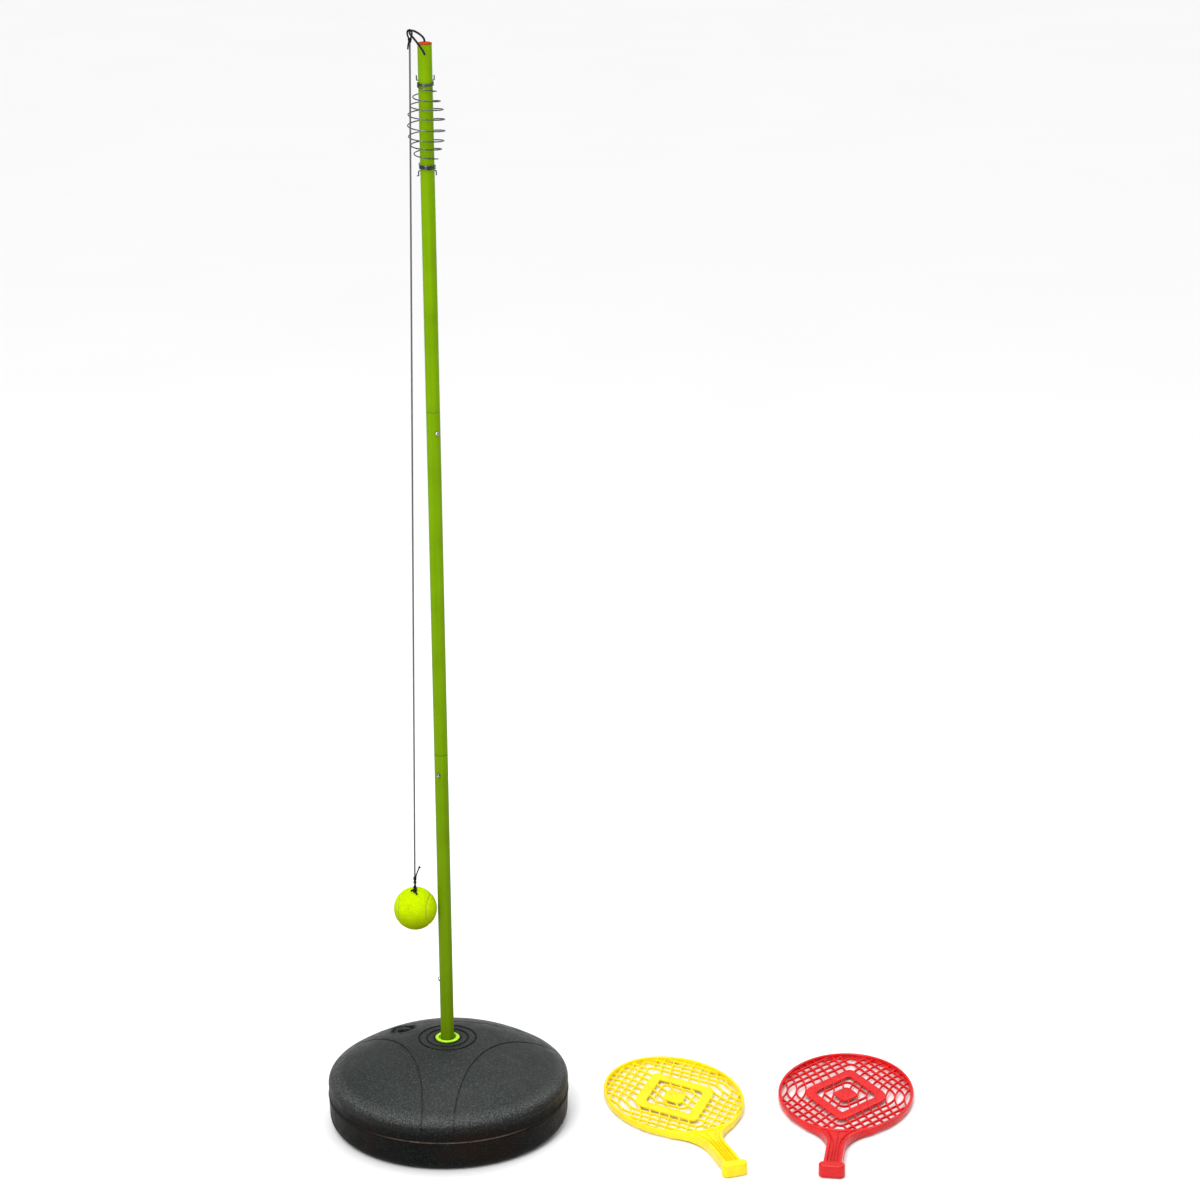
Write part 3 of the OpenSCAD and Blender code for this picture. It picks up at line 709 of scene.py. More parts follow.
def tether():
    path = spline(CORD_ROUTE, 8)
    cord = wire("cord", path, CORD_R, 14)
    finish_piece(cord, "cord", "tether", "cord_black", "tether_cord")

    # loop round the hook's eye, closed by a knot
    swing = Matrix.Rotation(math.radians(7), 3, "Z")
    loop = [Vector((0, 0, -10.5)), Vector((-1.5, 0.4, -7.5)), Vector((-3.0, 0.3, -3.5))]
    bend = [math.radians(a) for a in (180, 135, 90, 45, 0)]
    loop += [Vector((3.1 * math.cos(a), 0, 3.1 * math.sin(a))) for a in bend]
    loop += [Vector((3.0, -0.3, -3.5)), Vector((1.5, -0.4, -7.5)), Vector((0, 0, -10.5))]
    loop = [EYE + swing @ (p * MM) for p in spline(loop, 6)]
    strand = wire("strand", loop, 1.2 * MM, 12)
    knot = overhand((EYE.x, EYE.y, KNOT_Z), 2.3 * MM, 1.15 * MM, 1.15, 0.5)
    end = [(EYE.x, EYE.y, KNOT_Z), (EYE.x - 0.002, EYE.y - 0.003, KNOT_Z - 0.004)]
    end.append((EYE.x - 0.003, EYE.y - 0.0045, KNOT_Z - 0.012))
    free = wire("free", spline(end, 6), 1.1 * MM, 10)
    top = join("tether_top_knot", [strand, knot, free])
    top.data.shade_smooth()
    finish_piece(top, "knot", "tether", "knot_black", "tether_loop")

    # knot on the ball: doubled cord, a free end, and two ends lying on the felt
    x, y, z = BALL_C.x, BALL_C.y, BALL_C.z + BALL_R
    up_path = Vector(CORD_ROUTE[-2]) - Vector(CORD_ROUTE[-1])
    up_path.normalize()
    axis = Vector((x, y, z))
    parts = []
    for phase in (0.0, math.pi):
        pts = []
        for i in range(28):
            s = i / 27
            a = phase + s * 5.2
            c = axis + up_path * (0.001 + 0.0135 * s)
            pts.append(c + Vector((math.cos(a), math.sin(a), 0)) * 1.15 * MM)
        parts.append(wire("twist", pts, 1.2 * MM, 10))
    whip = []
    for i in range(40):
        a = TAU * i / 12
        out = Vector((math.cos(a), math.sin(a), 0)) * 2.1 * MM
        whip.append(axis + up_path * (0.0128 + 0.0009 * i / 6) + out)
    parts.append(wire("whip", whip, 0.55 * MM, 8))
    tail = ((0.6, -0.8, 0), (1.7, -1.3, 6), (4.1, -1.5, 13.5), (7.9, -1.3, 22))
    tail = [axis + up_path * 0.013 + Vector(p) * MM for p in tail]
    parts.append(wire("tail", spline(tail, 6), 1.05 * MM, 10))
    back = (tail[-1] - tail[-2]).normalized() * 1.5 * MM
    parts.append(wire("tip", [tail[-1] - back * k for k in (2.0, 1.5, 0.7, 0)], 1.9 * MM, 10))

    def on_ball(polar, azimuth, lift):
        p, a = math.radians(polar), math.radians(azimuth)
        out = Vector((math.sin(p) * math.cos(a), math.sin(p) * math.sin(a), math.cos(p)))
        return BALL_C + out * (BALL_R + lift * MM)

    parts.append(overhand((x, y, z + 1.6 * MM), 2.5 * MM, 1.2 * MM, 0.62, 1.2))
    front = overhand((0, 0, 0), 3.1 * MM, 1.3 * MM, 0.75, 0.4)
    lean = Matrix.Rotation(math.radians(17), 4, "X") @ Matrix.Rotation(math.radians(35), 4, "Z")
    front.data.transform(Matrix.Translation(on_ball(17, -90, 1.3)) @ lean)
    parts.append(front)
    for route in (
        ((2, -90, 1.4), (6, -70, 2.0), (11, -82, 2.2), (16, -90, 1.6)),
        ((15, -100, 1.8), (20, -96, 2.2), (26, -84, 1.6), (31, -79, 1.1)),
        ((14, -88, 2.4), (16, -104, 2.6), (18, -116, 1.8), (19, -124, 1.1)),
    ):
        parts.append(wire("end", spline([on_ball(*p) for p in route], 5), 1.25 * MM, 10))
    knot = join("ball_top_knot", parts)
    knot.data.shade_smooth()
    finish_piece(knot, "knot", "tether", "knot_black", "ball_knot")


tether()


# ---------------------------------------------------------------- base
LIP_R = 14 * MM
LIP_SLOPE = math.radians(34.8)
CROWN_R = 46 * MM
lip_c = Vector((BASE_R - 0.6 * MM - LIP_R, WALL_TOP))
dome_out = lip_c + LIP_R * Vector((math.sin(LIP_SLOPE), math.cos(LIP_SLOPE)))
dome_in = Vector((CROWN_R, CROWN_Z))
chord = dome_out - dome_in
dome_half = LIP_SLOPE - math.atan2(-chord.y, chord.x)
DOME_R = chord.length / (2 * math.sin(dome_half))
dome_c = dome_out - DOME_R * Vector((math.sin(LIP_SLOPE), math.cos(LIP_SLOPE)))


def dome_z(r):
    """Height of the top shell at a distance from the axis."""
    if r <= CROWN_R:
        return CROWN_Z
    if r <= dome_out.x:
        return dome_c.y + math.sqrt(DOME_R**2 - (r - dome_c.x) ** 2)
    return lip_c.y + math.sqrt(max(0.0, LIP_R**2 - (r - lip_c.x) ** 2))


def dome_profile():
    """Outer outline from the middle to the wall's foot."""
    out = [(r * MM, CROWN_Z) for r in (14, 22, 30, 38, 44)]
    start = math.degrees(math.acos((CROWN_R - dome_c.x) / DOME_R))
    end = 90 - math.degrees(LIP_SLOPE)
    out += corner(dome_c, DOME_R, start, end, 36)
    out += corner(lip_c, LIP_R, end, 0, 14)[1:]
    out += [(BASE_R - 1.0 * MM, PARTING_Z + 8 * MM), (BASE_R - 1.2 * MM, PARTING_Z + 3.2 * MM)]
    out += corner((BASE_R - 1.2 * MM, PARTING_Z + 1.5 * MM), 1.2 * MM, 80, -60, 8)
    out += [(BASE_R - 1.4 * MM, PARTING_Z)]
    return out


def base():
    wall = 3.2 * MM
    outer = dome_profile()
    inner = [(BASE_R - wall, PARTING_Z), (BASE_R - wall, WALL_TOP)]
    inner += [(BASE_R - 14 * MM, WALL_TOP + 8 * MM)]
    inner += [(r * MM, dome_z(r * MM) - wall) for r in (160, 140, 120, 90, 60, 40, 18)]
    inner += [(18 * MM, CROWN_Z - 50 * MM), (14 * MM, CROWN_Z - 50 * MM)]
    shell = lathe("base_top", outer + inner, 288)
    cutters = []
    for r, width, sink in ((19.6, 1.8, 0.6), (31, 1.9, 1.0), (42.8, 1.9, 1.0)):
        turns = [TAU * k / 120 for k in range(120)]
        z = CROWN_Z - sink * MM
        path = [(r * MM * math.cos(a), r * MM * math.sin(a), z) for a in turns]
        cutters.append(wire("ring_cut", path, width * MM, 12, closed=True))
    # petal outlines: arcs about a point outside the base, followed over the lip
    petal_r, petal_out = 285 * MM, 354 * MM
    for az, out in ((85, petal_out), (203, petal_out - 2 * MM), (325, petal_out)):
        a = math.radians(az)
        c = Vector((out * math.cos(a), out * math.sin(a)))
        path = []
        steps = 260
        for i in range(steps + 1):
            t = a + math.pi + (i / steps - 0.5) * math.radians(78)
            p = c + petal_r * Vector((math.cos(t), math.sin(t)))
            d = p.length
            if d < BASE_R - 1.6 * MM:
                path.append((p.x, p.y, dome_z(d) - 0.6 * MM))
        # run down the wall a little at both ends
        for end in (0, -1):
            x, y, z = path[end]
            low = (x * 1.004, y * 1.004, z - 5 * MM)
            path.insert(0, low) if end == 0 else path.append(low)
        cutters.append(wire("petal_cut", path, 1.45 * MM, 12))
    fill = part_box("fill_cap")
    fc = (fill[0] + fill[1]) / 2
    pocket_z = CROWN_Z - 21 * MM
    pocket_r = 17 * MM
    top = dome_z(math.hypot(fc.x, fc.y))
    neck_r, neck_z = 12 * MM, pocket_z - 12 * MM
    pocket = [(0, neck_z - 8 * MM), (neck_r, neck_z - 8 * MM)]
    pocket += [(neck_r, pocket_z - 0.6 * MM), (neck_r + 0.6 * MM, pocket_z)]
    pocket += [(pocket_r - 1.5 * MM, pocket_z)]
    pocket += corner((pocket_r - 1.5 * MM, pocket_z + 1.5 * MM), 1.5 * MM, -90, 0, 4)[1:]
    pocket += [(pocket_r, top - 2.2 * MM)]
    pocket += [(pocket_r + 0.3 * MM, top - 1.2 * MM), (pocket_r + 1.2 * MM, top + 0.4 * MM)]
    pocket += [(pocket_r + 4 * MM, top + 5 * MM)]
    pocket += [(pocket_r + 4 * MM, top + 12 * MM), (0, top + 12 * MM)]
    bowl = [(0, neck_z), (neck_r + 2.4 * MM, neck_z), (neck_r + 2.4 * MM, pocket_z - wall)]
    bowl += [(pocket_r + wall, pocket_z - wall), (pocket_r + wall, top - 4 * MM), (0, top - 4 * MM)]
    bowl = lathe("fill_bowl", bowl, 72, (fc.x, fc.y))
    cutters.append(lathe("fill_cut", pocket, 72, (fc.x, fc.y)))
    cut(shell, cutters, [bowl])
    finish_piece(shell, "base", "base", "base_plastic", "base_top_shell", sharp=28)

    foot_r = 17 * MM
    side = BASE_R - 1.6 * MM
    low = [(0, 0), (60 * MM, 0), (140 * MM, 0)]
    low += corner((side - foot_r, foot_r), foot_r, -90, 0, 14)
    low += [
        (side + 0.5 * MM, PARTING_Z - 12 * MM),
        (side + 1.0 * MM, PARTING_Z - 2.5 * MM),
        (BASE_R - 0.5 * MM, PARTING_Z - 0.9 * MM),
        (BASE_R - 0.8 * MM, PARTING_Z - 0.3 * MM),
        (BASE_R - 1.6 * MM, PARTING_Z),
        (BASE_R - 3.5 * MM, PARTING_Z),
        (BASE_R - 3.5 * MM, PARTING_Z + 8 * MM),
        (BASE_R - 6.4 * MM, PARTING_Z + 8 * MM),
        (BASE_R - 6.4 * MM, PARTING_Z - 20 * MM),
        (BASE_R - 20 * MM, 3.4 * MM),
        (17 * MM, 3.2 * MM),
        (17 * MM, 68 * MM),
        (0, 68 * MM),
    ]
    bottom = lathe("base_bottom", low, 288)
    finish_piece(bottom, "base", "base", "base_plastic", "base_bottom_shell", sharp=40)

    # flange of the socket: round rim, a dished face and a slot round the pole
    z0 = CROWN_Z
    rim = [(10.05, -58), (13.9, -58), (13.9, 0.0), (FLANGE_R / MM - 0.3, 0.0)]
    rim += corner((FLANGE_R / MM - 1.0, 1.0), 1.0, -40, 110, 8)
    rim += [(16.4, 1.3), (15.4, 1.2), (14.6, 1.5), (14.0, 2.0), (13.5, 1.9), (13.2, 1.2)]
    rim += [(13.1, -3.6), (10.05, -4.0)]
    flange = lathe("socket_flange", [(r * MM, z0 + z * MM) for r, z in rim], 96)
    finish_piece(flange, "lime", "base", "lime_plastic", "pole_socket", sharp=50)

    # filler cap with a gripping bar
    lo, hi = fill
    zc = hi.z - 4 * MM
    disc = [(0, zc - 4 * MM), (13.6 * MM, zc - 4 * MM)]
    disc += corner((13.6 * MM, zc - 3 * MM), 1.0 * MM, -90, 0, 4)[1:]
    disc += corner((13.4 * MM, zc - 1.2 * MM), 1.2 * MM, 0, 90, 5)
    disc += [(11 * MM, zc), (10.4 * MM, zc - 0.6 * MM), (8 * MM, zc - 0.8 * MM), (0, zc - 0.8 * MM)]
    plug = [(0, lo.z), (10.6 * MM, lo.z), (11.6 * MM, lo.z + 1.5 * MM)]
    plug += [(11.9 * MM, zc - 4 * MM), (0, zc - 4 * MM)]
    parts = [lathe("disc", disc, 72, (fc.x, fc.y)), lathe("plug", plug, 72, (fc.x, fc.y))]
    reach = (-1.25, -1.15, -0.9, -0.4, 0.4, 0.9, 1.15, 1.25)
    size = (0.35, 0.75, 1, 1, 1, 1, 0.75, 0.35)
    grip = [(fc.x + s * 7.0 * MM, fc.y, zc + 1.2 * MM) for s in reach]
    section = soft_section(4 * MM, 5.6 * MM, 1.4 * MM)
    parts.append(sweep("grip", grip, section, up=(0, 0, 1), scale=lambda t: size[round(t * 7)]))
    for k in range(30):
        a = TAU * k / 30
        p = Vector((fc.x + 14.35 * MM * math.cos(a), fc.y + 14.35 * MM * math.sin(a), 0))
        knurl = [(p.x, p.y, zc - down * MM) for down in (3.4, 2.4, 1.4)]
        parts.append(wire("knurl", knurl, 0.5 * MM, 6))
    cap = join("filler_cap", parts)
    finish_piece(cap, "base", "filler_cap", "base_plastic", "fill_cap", sharp=40)
    seal = [(12.15, 0), (14.2, 0), (14.5, 0.5), (14.5, 1.4), (14.2, 1.9), (12.15, 1.9)]
    gasket = lathe("filler_gasket", [(r * MM, pocket_z + z * MM) for r, z in seal], 72, (fc.x, fc.y))
    finish_piece(gasket, "rubber", "base", "rubber", "fill_gasket", sharp=50)


base()


# ---------------------------------------------------------------- pole
BUTTONS = (("low", 188), ("middle", 244), ("upper", 298))
WALL = 1.1 * MM


def across(r, z, azimuth, reach, segments=32):
    """A round cutter that goes out from the pole's axis."""
    rod = lathe("drill", [(0, 0), (r, 0), (r, reach), (0, reach)], segments)
    turn = Matrix.Rotation(math.radians(azimuth), 4, "Z") @ Matrix.Rotation(math.pi / 2, 4, "Y")
    rod.data.transform(Matrix.Translation((0, 0, z)) @ turn)
    return rod


def pipe(name, z0, z1, rim=0.35 * MM):
    """A tube section with rolled ends."""
    r, b = POLE_R, POLE_R - WALL
    steps = 24
    out = [(b, z0), (r - rim, z0)] + corner((r - rim, z0 + rim), rim, -90, 0, 4)[1:]
    out += [(r, z0 + rim + (z1 - z0 - 2 * rim) * k / steps) for k in range(1, steps)]
    out += corner((r - rim, z1 - rim), rim, 0, 90, 4) + [(b, z1)]
    return lathe(name, out, 96)


def pole():
    sections = (
        ("pole_lower", lower_lo.z, lower_hi.z),
        ("pole_middle", middle_lo.z, middle_hi.z),
        ("pole_upper", upper_lo.z, upper_hi.z),
    )
    pins = [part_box("coil_pin_top"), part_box("coil_pin_bottom")]
    pin_z = [pins[0][0].z + 0.9 * MM, pins[1][1].z - 0.9 * MM]
    # a button stands below the seam it locks, so its hole can be in another section than its turn here
    holes = [(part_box("snap_button_" + level)[0].z + 5 * MM, az) for level, az in BUTTONS]
    for (name, z0, z1), (level, az), (z, _) in zip(sections, BUTTONS, holes):
        tube = pipe(name + "_tube", z0, z1)
        cutters = [across(3.25 * MM, h, turn, 2 * POLE_R) for h, turn in holes if z0 < h < z1]
        if name == "pole_upper":
            for q in pin_z:
                for side in (0, 180):
                    cutters.append(across(1.0 * MM, q, side, 2 * POLE_R, 16))
        cut(tube, cutters)
        finish_piece(tube, "pole", "base", "pole_green", name, sharp=40)
        # button: a round-ended pin, and the live leg of its spring
        knob = [(0, 5.2), (2.9, 5.2), (3.1, 5.5), (3.1, 10.4)]
        knob += [(3.1 * math.cos(math.radians(t)), 10.4 + 2.6 * math.sin(math.radians(t))) for t in (15, 30, 45, 60, 75)]
        knob += [(0, 13.0)]
        pin = lathe("pin", [(r * MM, h * MM) for r, h in knob], 40)
        turn = Matrix.Rotation(math.radians(az), 4, "Z") @ Matrix.Rotation(math.pi / 2, 4, "Y")
        pin.data.transform(Matrix.Translation((0, 0, z)) @ turn)
        out = Vector((math.cos(math.radians(az)), math.sin(math.radians(az)), 0))
        leg_path = [out * 5.6 * MM + Vector((0, 0, z + h * MM)) for h in (-5, -4.6, 0, 8, 16, 24, 27.5)]
        leg = sweep("leg", leg_path, soft_section(6 * MM, 0.8 * MM, 0.25 * MM, 2), up=out)
        both = join("snap_button_" + level + "_visible", [pin, leg])
        finish_piece(both, "button", "button_" + level, "button_steel", "snap_button_" + level, sharp=40)

    inner = ["socket_stub", "ferrule_middle", "ferrule_upper", "hook_collar"]
    for name in inner + ["snap_spring_" + level for level, _ in BUTTONS]:
        paint(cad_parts[name], "inner")

    # cap: thin round rim with a boss round the hook
    z0 = POLE_TOP
    cap = [(1.6, -14), (4.2, -14), (4.2, -20), (8.8, -20), (8.85, -0.1), (10.2, 0.0)]
    cap += corner((9.5, 0.9), 0.9, -50, 60, 5)
    cap += corner((7.6, 0.2), 2.3, 50, 90, 4)
    cap += [(5.2, 2.3), (4.4, 2.5), (3.6, 3.0), (2.4, 3.0), (1.9, 2.6), (1.6, 1.8)]
    lid = lathe("pole_cap", [(r * MM, z0 + z * MM) for r, z in cap], 72)
    finish_piece(lid, "cap", "base", "cap_red", "top_cap", sharp=45)


pole()

# ---------------------------------------------------------------- coil
COIL_R, WIRE_R = 25.8 * MM, 0.9 * MM
COIL_TOP, COIL_H = POLE_TOP - 52 * MM, 120 * MM
COIL_TURNS, CLOSE_TURNS = 8, 2.6


def coil_point(n):
    """The wire n turns below the top end: close turns, a barrel of open turns, close turns."""
    fit = POLE_R + WIRE_R + 0.05 * MM
    pitch = 2 * WIRE_R + 0.25 * MM
    close = CLOSE_TURNS * pitch
    t = (n - CLOSE_TURNS) / COIL_TURNS
    a = math.radians(330) + TAU * n
    if t <= 0:
        r, z = fit, COIL_TOP - n * pitch
    elif t >= 1:
        r, z = fit, COIL_TOP - COIL_H + (COIL_TURNS + 2 * CLOSE_TURNS - n) * pitch
    else:
        r = fit + (COIL_R - fit) * math.sin(math.pi * t) ** 0.8
        z = COIL_TOP - close - (COIL_H - 2 * close) * (t + 0.014 * math.sin(4 * math.pi * t))
    return (r * math.cos(a), r * math.sin(a), z)


def coil():
    turns = COIL_TURNS + 2 * CLOSE_TURNS
    steps = round(turns * 44)
    path = [coil_point(i * turns / steps) for i in range(steps + 1)]
    spring = wire("coil_wire", path, WIRE_R, 12)
    finish_piece(spring, "coil", "base", "coil_steel", "spiral_coil")
    reach = POLE_R + 2.2 * MM
    for name, up, foot in (("coil_pin_top", 1, False), ("coil_pin_bottom", -1, True)):
        lo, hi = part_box(name)
        z = lo.z + 0.9 * MM if up > 0 else hi.z - 0.9 * MM
        end = z + up * 7 * MM
        pts = [(-reach, 0, end), (-reach, 0, z), (reach, 0, z), (reach, 0, end)]
        if foot:
            pts.insert(0, (-reach - 3 * MM, 0, end))
        pin = wire(name + "_wire", rounded_path(pts, 1.4 * MM), 0.9 * MM, 12)
        finish_piece(pin, "coil", "base", "coil_steel", name)


coil()


# ---------------------------------------------------------------- hook
def hook():
    top = POLE_TOP + 4 * MM
    ez = EYE.z
    route = [(0, 0, POLE_TOP - 19 * MM), (0, 0, POLE_TOP - 8 * MM), (0, 0, top)]
    route += [(-0.002, 0.001, top + 0.005), (-0.008, 0.003, top + 0.010), (-0.015, 0, top + 0.014)]
    route += [(-0.0195, -0.010, ez + 0.0005), (-0.020, -0.0205, ez), (-0.019, -0.028, ez - 0.002)]
    route += [(-0.014, -0.029, ez - 0.008), (-0.008, -0.023, ez - 0.017)]
    route += [(-0.002, -0.017, ez - 0.027), (0, -0.0155, ez - 0.032)]
    bent = wire("hook_wire", spline(route, 8), 1.5 * MM, 16)
    finish_piece(bent, "hook", "swivel", "hook_black", "swivel_hook")


hook()


# ---------------------------------------------------------------- ball
def seam_curve(count):
    """Closed curve of a two-panel ball, on the unit sphere, narrow waists at +z and -z."""
    a, b, c = 0.835, 0.165, 0.742
    pts = []
    for i in range(count):
        t = TAU * i / count
        p = Vector((a * math.cos(t) + b * math.cos(3 * t), a * math.sin(t) - b * math.sin(3 * t), c * math.sin(2 * t)))
        pts.append(p.normalized())
    turn = (
        Matrix.Rotation(math.radians(-12), 3, "Z")
        @ Matrix.Rotation(math.radians(66), 3, "X")
        @ Matrix.Rotation(math.radians(-45), 3, "Z")
    )
    return [turn @ p for p in pts]


def ball():
    seam = seam_curve(720)
    tree = kdtree.KDTree(len(seam))
    for i, p in enumerate(seam):
        tree.insert(p, i)
    tree.balance()
    bm = bmesh.new()
    bmesh.ops.create_icosphere(bm, subdivisions=7, radius=1)
    groove_w, depth = 2.2 * MM, 1.1 * MM
    hole_r, felt = 4.4 * MM, 0.35 * MM
    for v in bm.verts:
        n = v.co.normalized()
        d = tree.find(n)[2] * BALL_R
        fuzz = noise.fractal(n * 26, 0.9, 2.1, 3) * 0.5
        fuzz += noise.noise(n * 90) * 0.45
        fuzz += noise.noise(n * 190) * 0.3
        r = BALL_R - felt - 0.12 * MM + fuzz * 0.28 * MM
        r -= depth * max(0.0, 1 - (d / groove_w) ** 2) ** 1.5
        off = math.hypot(n.x, n.y) * BALL_R
        if n.z > 0 and off < hole_r:
            r -= 1.6 * MM * (1 - (off / hole_r) ** 2)
        v.co = BALL_C + n * r
    panels = from_bmesh("ball_panels", bm)
    panels.data.shade_smooth()
    finish_piece(panels, "felt", "tether", "felt", "ball_felt")
    path = [BALL_C + p * (BALL_R - 1.75 * MM) for p in seam[::3]]
    bead = wire("ball_seam", path, 0.85 * MM, 10, closed=True)
    finish_piece(bead, "seam", "tether", "felt")
    paint(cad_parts["ball_core"], "rubber")
    paint(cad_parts["ball_anchor"], "knot")


ball()

# ---------------------------------------------------------------- bats
HEAD_W, HEAD_L, BAT_L = 207.0, 272.0, 400.0
RIM_W, RIM_T, HANDLE_T, HANDLE_W = 4.8, 10.0, 18.0, 27.0
BUTT_W, BUTT_L, BUTT_T = 39.0, 17.0, 20.0
BAR_W, CURVE_W, LATTICE_T, BAND_T = 2.5, 2.3, 4.2, 3.2
DROP = 4.0
EDGE_TURN = math.radians(37.4)
GRIP_Y = HEAD_L / 2 - BAT_L + BUTT_L / 2
BAT_PLACE = {"yellow": (345, 30, 16), "red": (610, 20, -12)}


def edge_quarter(half, foot, crown, steps=10):
    """One quarter of a diamond: arc out of mid height, straight side, round crown."""
    c, s = math.cos(EDGE_TURN), math.sin(EDGE_TURN)
    foot_r = (half - foot) * c / (1 - c)
    deg = math.degrees(EDGE_TURN)
    low = corner((foot - foot_r, 0), foot_r, 0, deg, steps)
    high = corner((0, (c * half - crown) / s), crown, deg, 90, steps)
    a, b = Vector(low[-1]), Vector(high[0])
    mid = [tuple(a.lerp(b, k / 8)) for k in range(1, 8)]
    return low + mid + high


def diamond(half, foot, crown):
    """The whole loop, anticlockwise from the right."""
    q = edge_quarter(half, foot, crown)
    loop = list(q)
    loop += [(-x, y) for x, y in reversed(q[:-1])]
    loop += [(-x, -y) for x, y in q[1:]]
    loop += [(x, -y) for x, y in reversed(q[1:-1])]
    return [(x, y - DROP) for x, y in loop]


def curve_bar(k, side, half):
    """Points of a curved bar: all of it for k >= 0, or one end of it."""
    x0 = 4 + 14.4 * k
    lean = max(0.0026, 0.0028 + 0.000038 * x0)
    start = {-2: 106, -1: 80}.get(k)
    if start:
        ys = [start + (140 - start) * i / 14 for i in range(15)]
    else:
        ys = [-140 + 280 * i / 56 for i in range(57)]
    return [(side * (x0 + lean * y * y), half * y - DROP) for y in ys]


def inside(p, inset=RIM_W / 2):
    return (p[0] / (HEAD_W / 2 - inset)) ** 2 + (p[1] / (HEAD_L / 2 - inset)) ** 2 <= 1


def clip(points, closed=False):
    """The runs of a line that lie inside the rim, and whether nothing was cut."""
    if all(inside(p) for p in points):
        return [points], True
    if closed:
        start = next(i for i, p in enumerate(points) if not inside(p))
        points = points[start:] + points[: start + 1]
    runs, run = [], []
    for a, b in zip(points, points[1:]):
        if inside(a) and not run:
            run = [a]
        if inside(a) != inside(b):
            lo, hi = (a, b) if inside(a) else (b, a)
            for _ in range(12):
                m = ((lo[0] + hi[0]) / 2, (lo[1] + hi[1]) / 2)
                lo, hi = (m, hi) if inside(m) else (lo, m)
            if inside(a):
                runs.append(run + [lo])
                run = []
            else:
                run = [lo, b]
        elif inside(b):
            run.append(b)
    if run:
        runs.append(run)
    return [r for r in runs if len(r) > 2], False


def flat(points, z=0.0):
    return [Vector((x * MM, y * MM, z * MM)) for x, y in points]


def bar(points, w, h, closed=False, r=0.8, z=0.0):
    section = soft_section(w * MM, h * MM, r * MM, 2)
    return sweep("bar", flat(points, z), section, closed=closed, up=(0, 0, 1))


def plate(name, outer, inner, thick, edge=0.7):
    """A flat plate between two loops with round edges; inner may be one point."""
    hole = len(inner) > 1
    verts, n = [], len(outer)
    top, side, bevel = thick / 2, thick / 2 - edge, thick / 2 - 0.3 * edge
    section = [("o", 0.0, -side), ("o", 0.0, side), ("o", 0.3 * edge, bevel), ("o", edge, top)]
    if hole:
        section += [("i", edge, top), ("i", 0.3 * edge, bevel), ("i", 0.0, side)]
        section += [("i", 0.0, -side), ("i", 0.3 * edge, -bevel), ("i", edge, -top)]
    section += [("o", edge, -top), ("o", 0.3 * edge, -bevel)]
    for i in range(n):
        a = Vector(outer[i])
        b = Vector(inner[i]) if hole else Vector(inner[0])
        d = (b - a).normalized()
        for kind, dist, z in section:
            p = a + d * dist if kind == "o" else b - d * dist
            verts.append((p.x * MM, p.y * MM, z * MM))
    m = len(section)
    faces = [f for k, f in enumerate(quads(n, m, closed=True)) if hole or k % m != 3]
    if not hole:
        for row, z in ((3, thick / 2), (4, -thick / 2)):
            mid = len(verts)
            verts.append((inner[0][0] * MM, inner[0][1] * MM, z * MM))
            for i in range(n):
                faces.append((i * m + row, ((i + 1) % n) * m + row, mid))
    return add_mesh(name, verts, faces)


def throat_side(side):
    """Centre line of one side rail: off the rim, round the throat and down the handle."""
    c = (HANDLE_W / 2 + 70, -185)
    outline = [(82, -83), (74, -96), (66, -105)] + corner(c, 70, 120, 180, 12)
    outline += [(HANDLE_W / 2, y) for y in (-200, -215, -230, -245, -256)]
    inset = 2.5
    pts = []
    for i, p in enumerate(outline):
        a = Vector(outline[max(i - 1, 0)])
        b = Vector(outline[min(i + 1, len(outline) - 1)])
        t = (b - a).normalized()
        n = Vector((t.y, -t.x)) if (t.y < 0) else Vector((-t.y, t.x))
        q = Vector(p) + (Vector((-1, 0)) if abs(t.x) < 0.05 else (n if n.x < 0 else -n)) * inset
        pts.append((side * q.x, q.y))
    return pts


def squash_rows(obj, m, factors):
    """Scales the rows of a sweep, m points each, in height."""
    for i, k in enumerate(factors):
        for v in obj.data.vertices[i * m : (i + 1) * m]:
            v.co.z *= k


def rail(side):
    """One side rail, as thick as the rim at its top and as the handle lower down."""
    line = throat_side(side)
    section = soft_section(5 * MM, HANDLE_T * MM, 1.8 * MM, 3)
    thin = RIM_T / HANDLE_T
    heights = [min(1.0, thin + max(0.0, (-108 - y) / 85) * (1 - thin)) for _, y in line]
    obj = sweep("rail", flat(line), section, up=(0, 0, 1))
    squash_rows(obj, len(section), heights)
    return obj


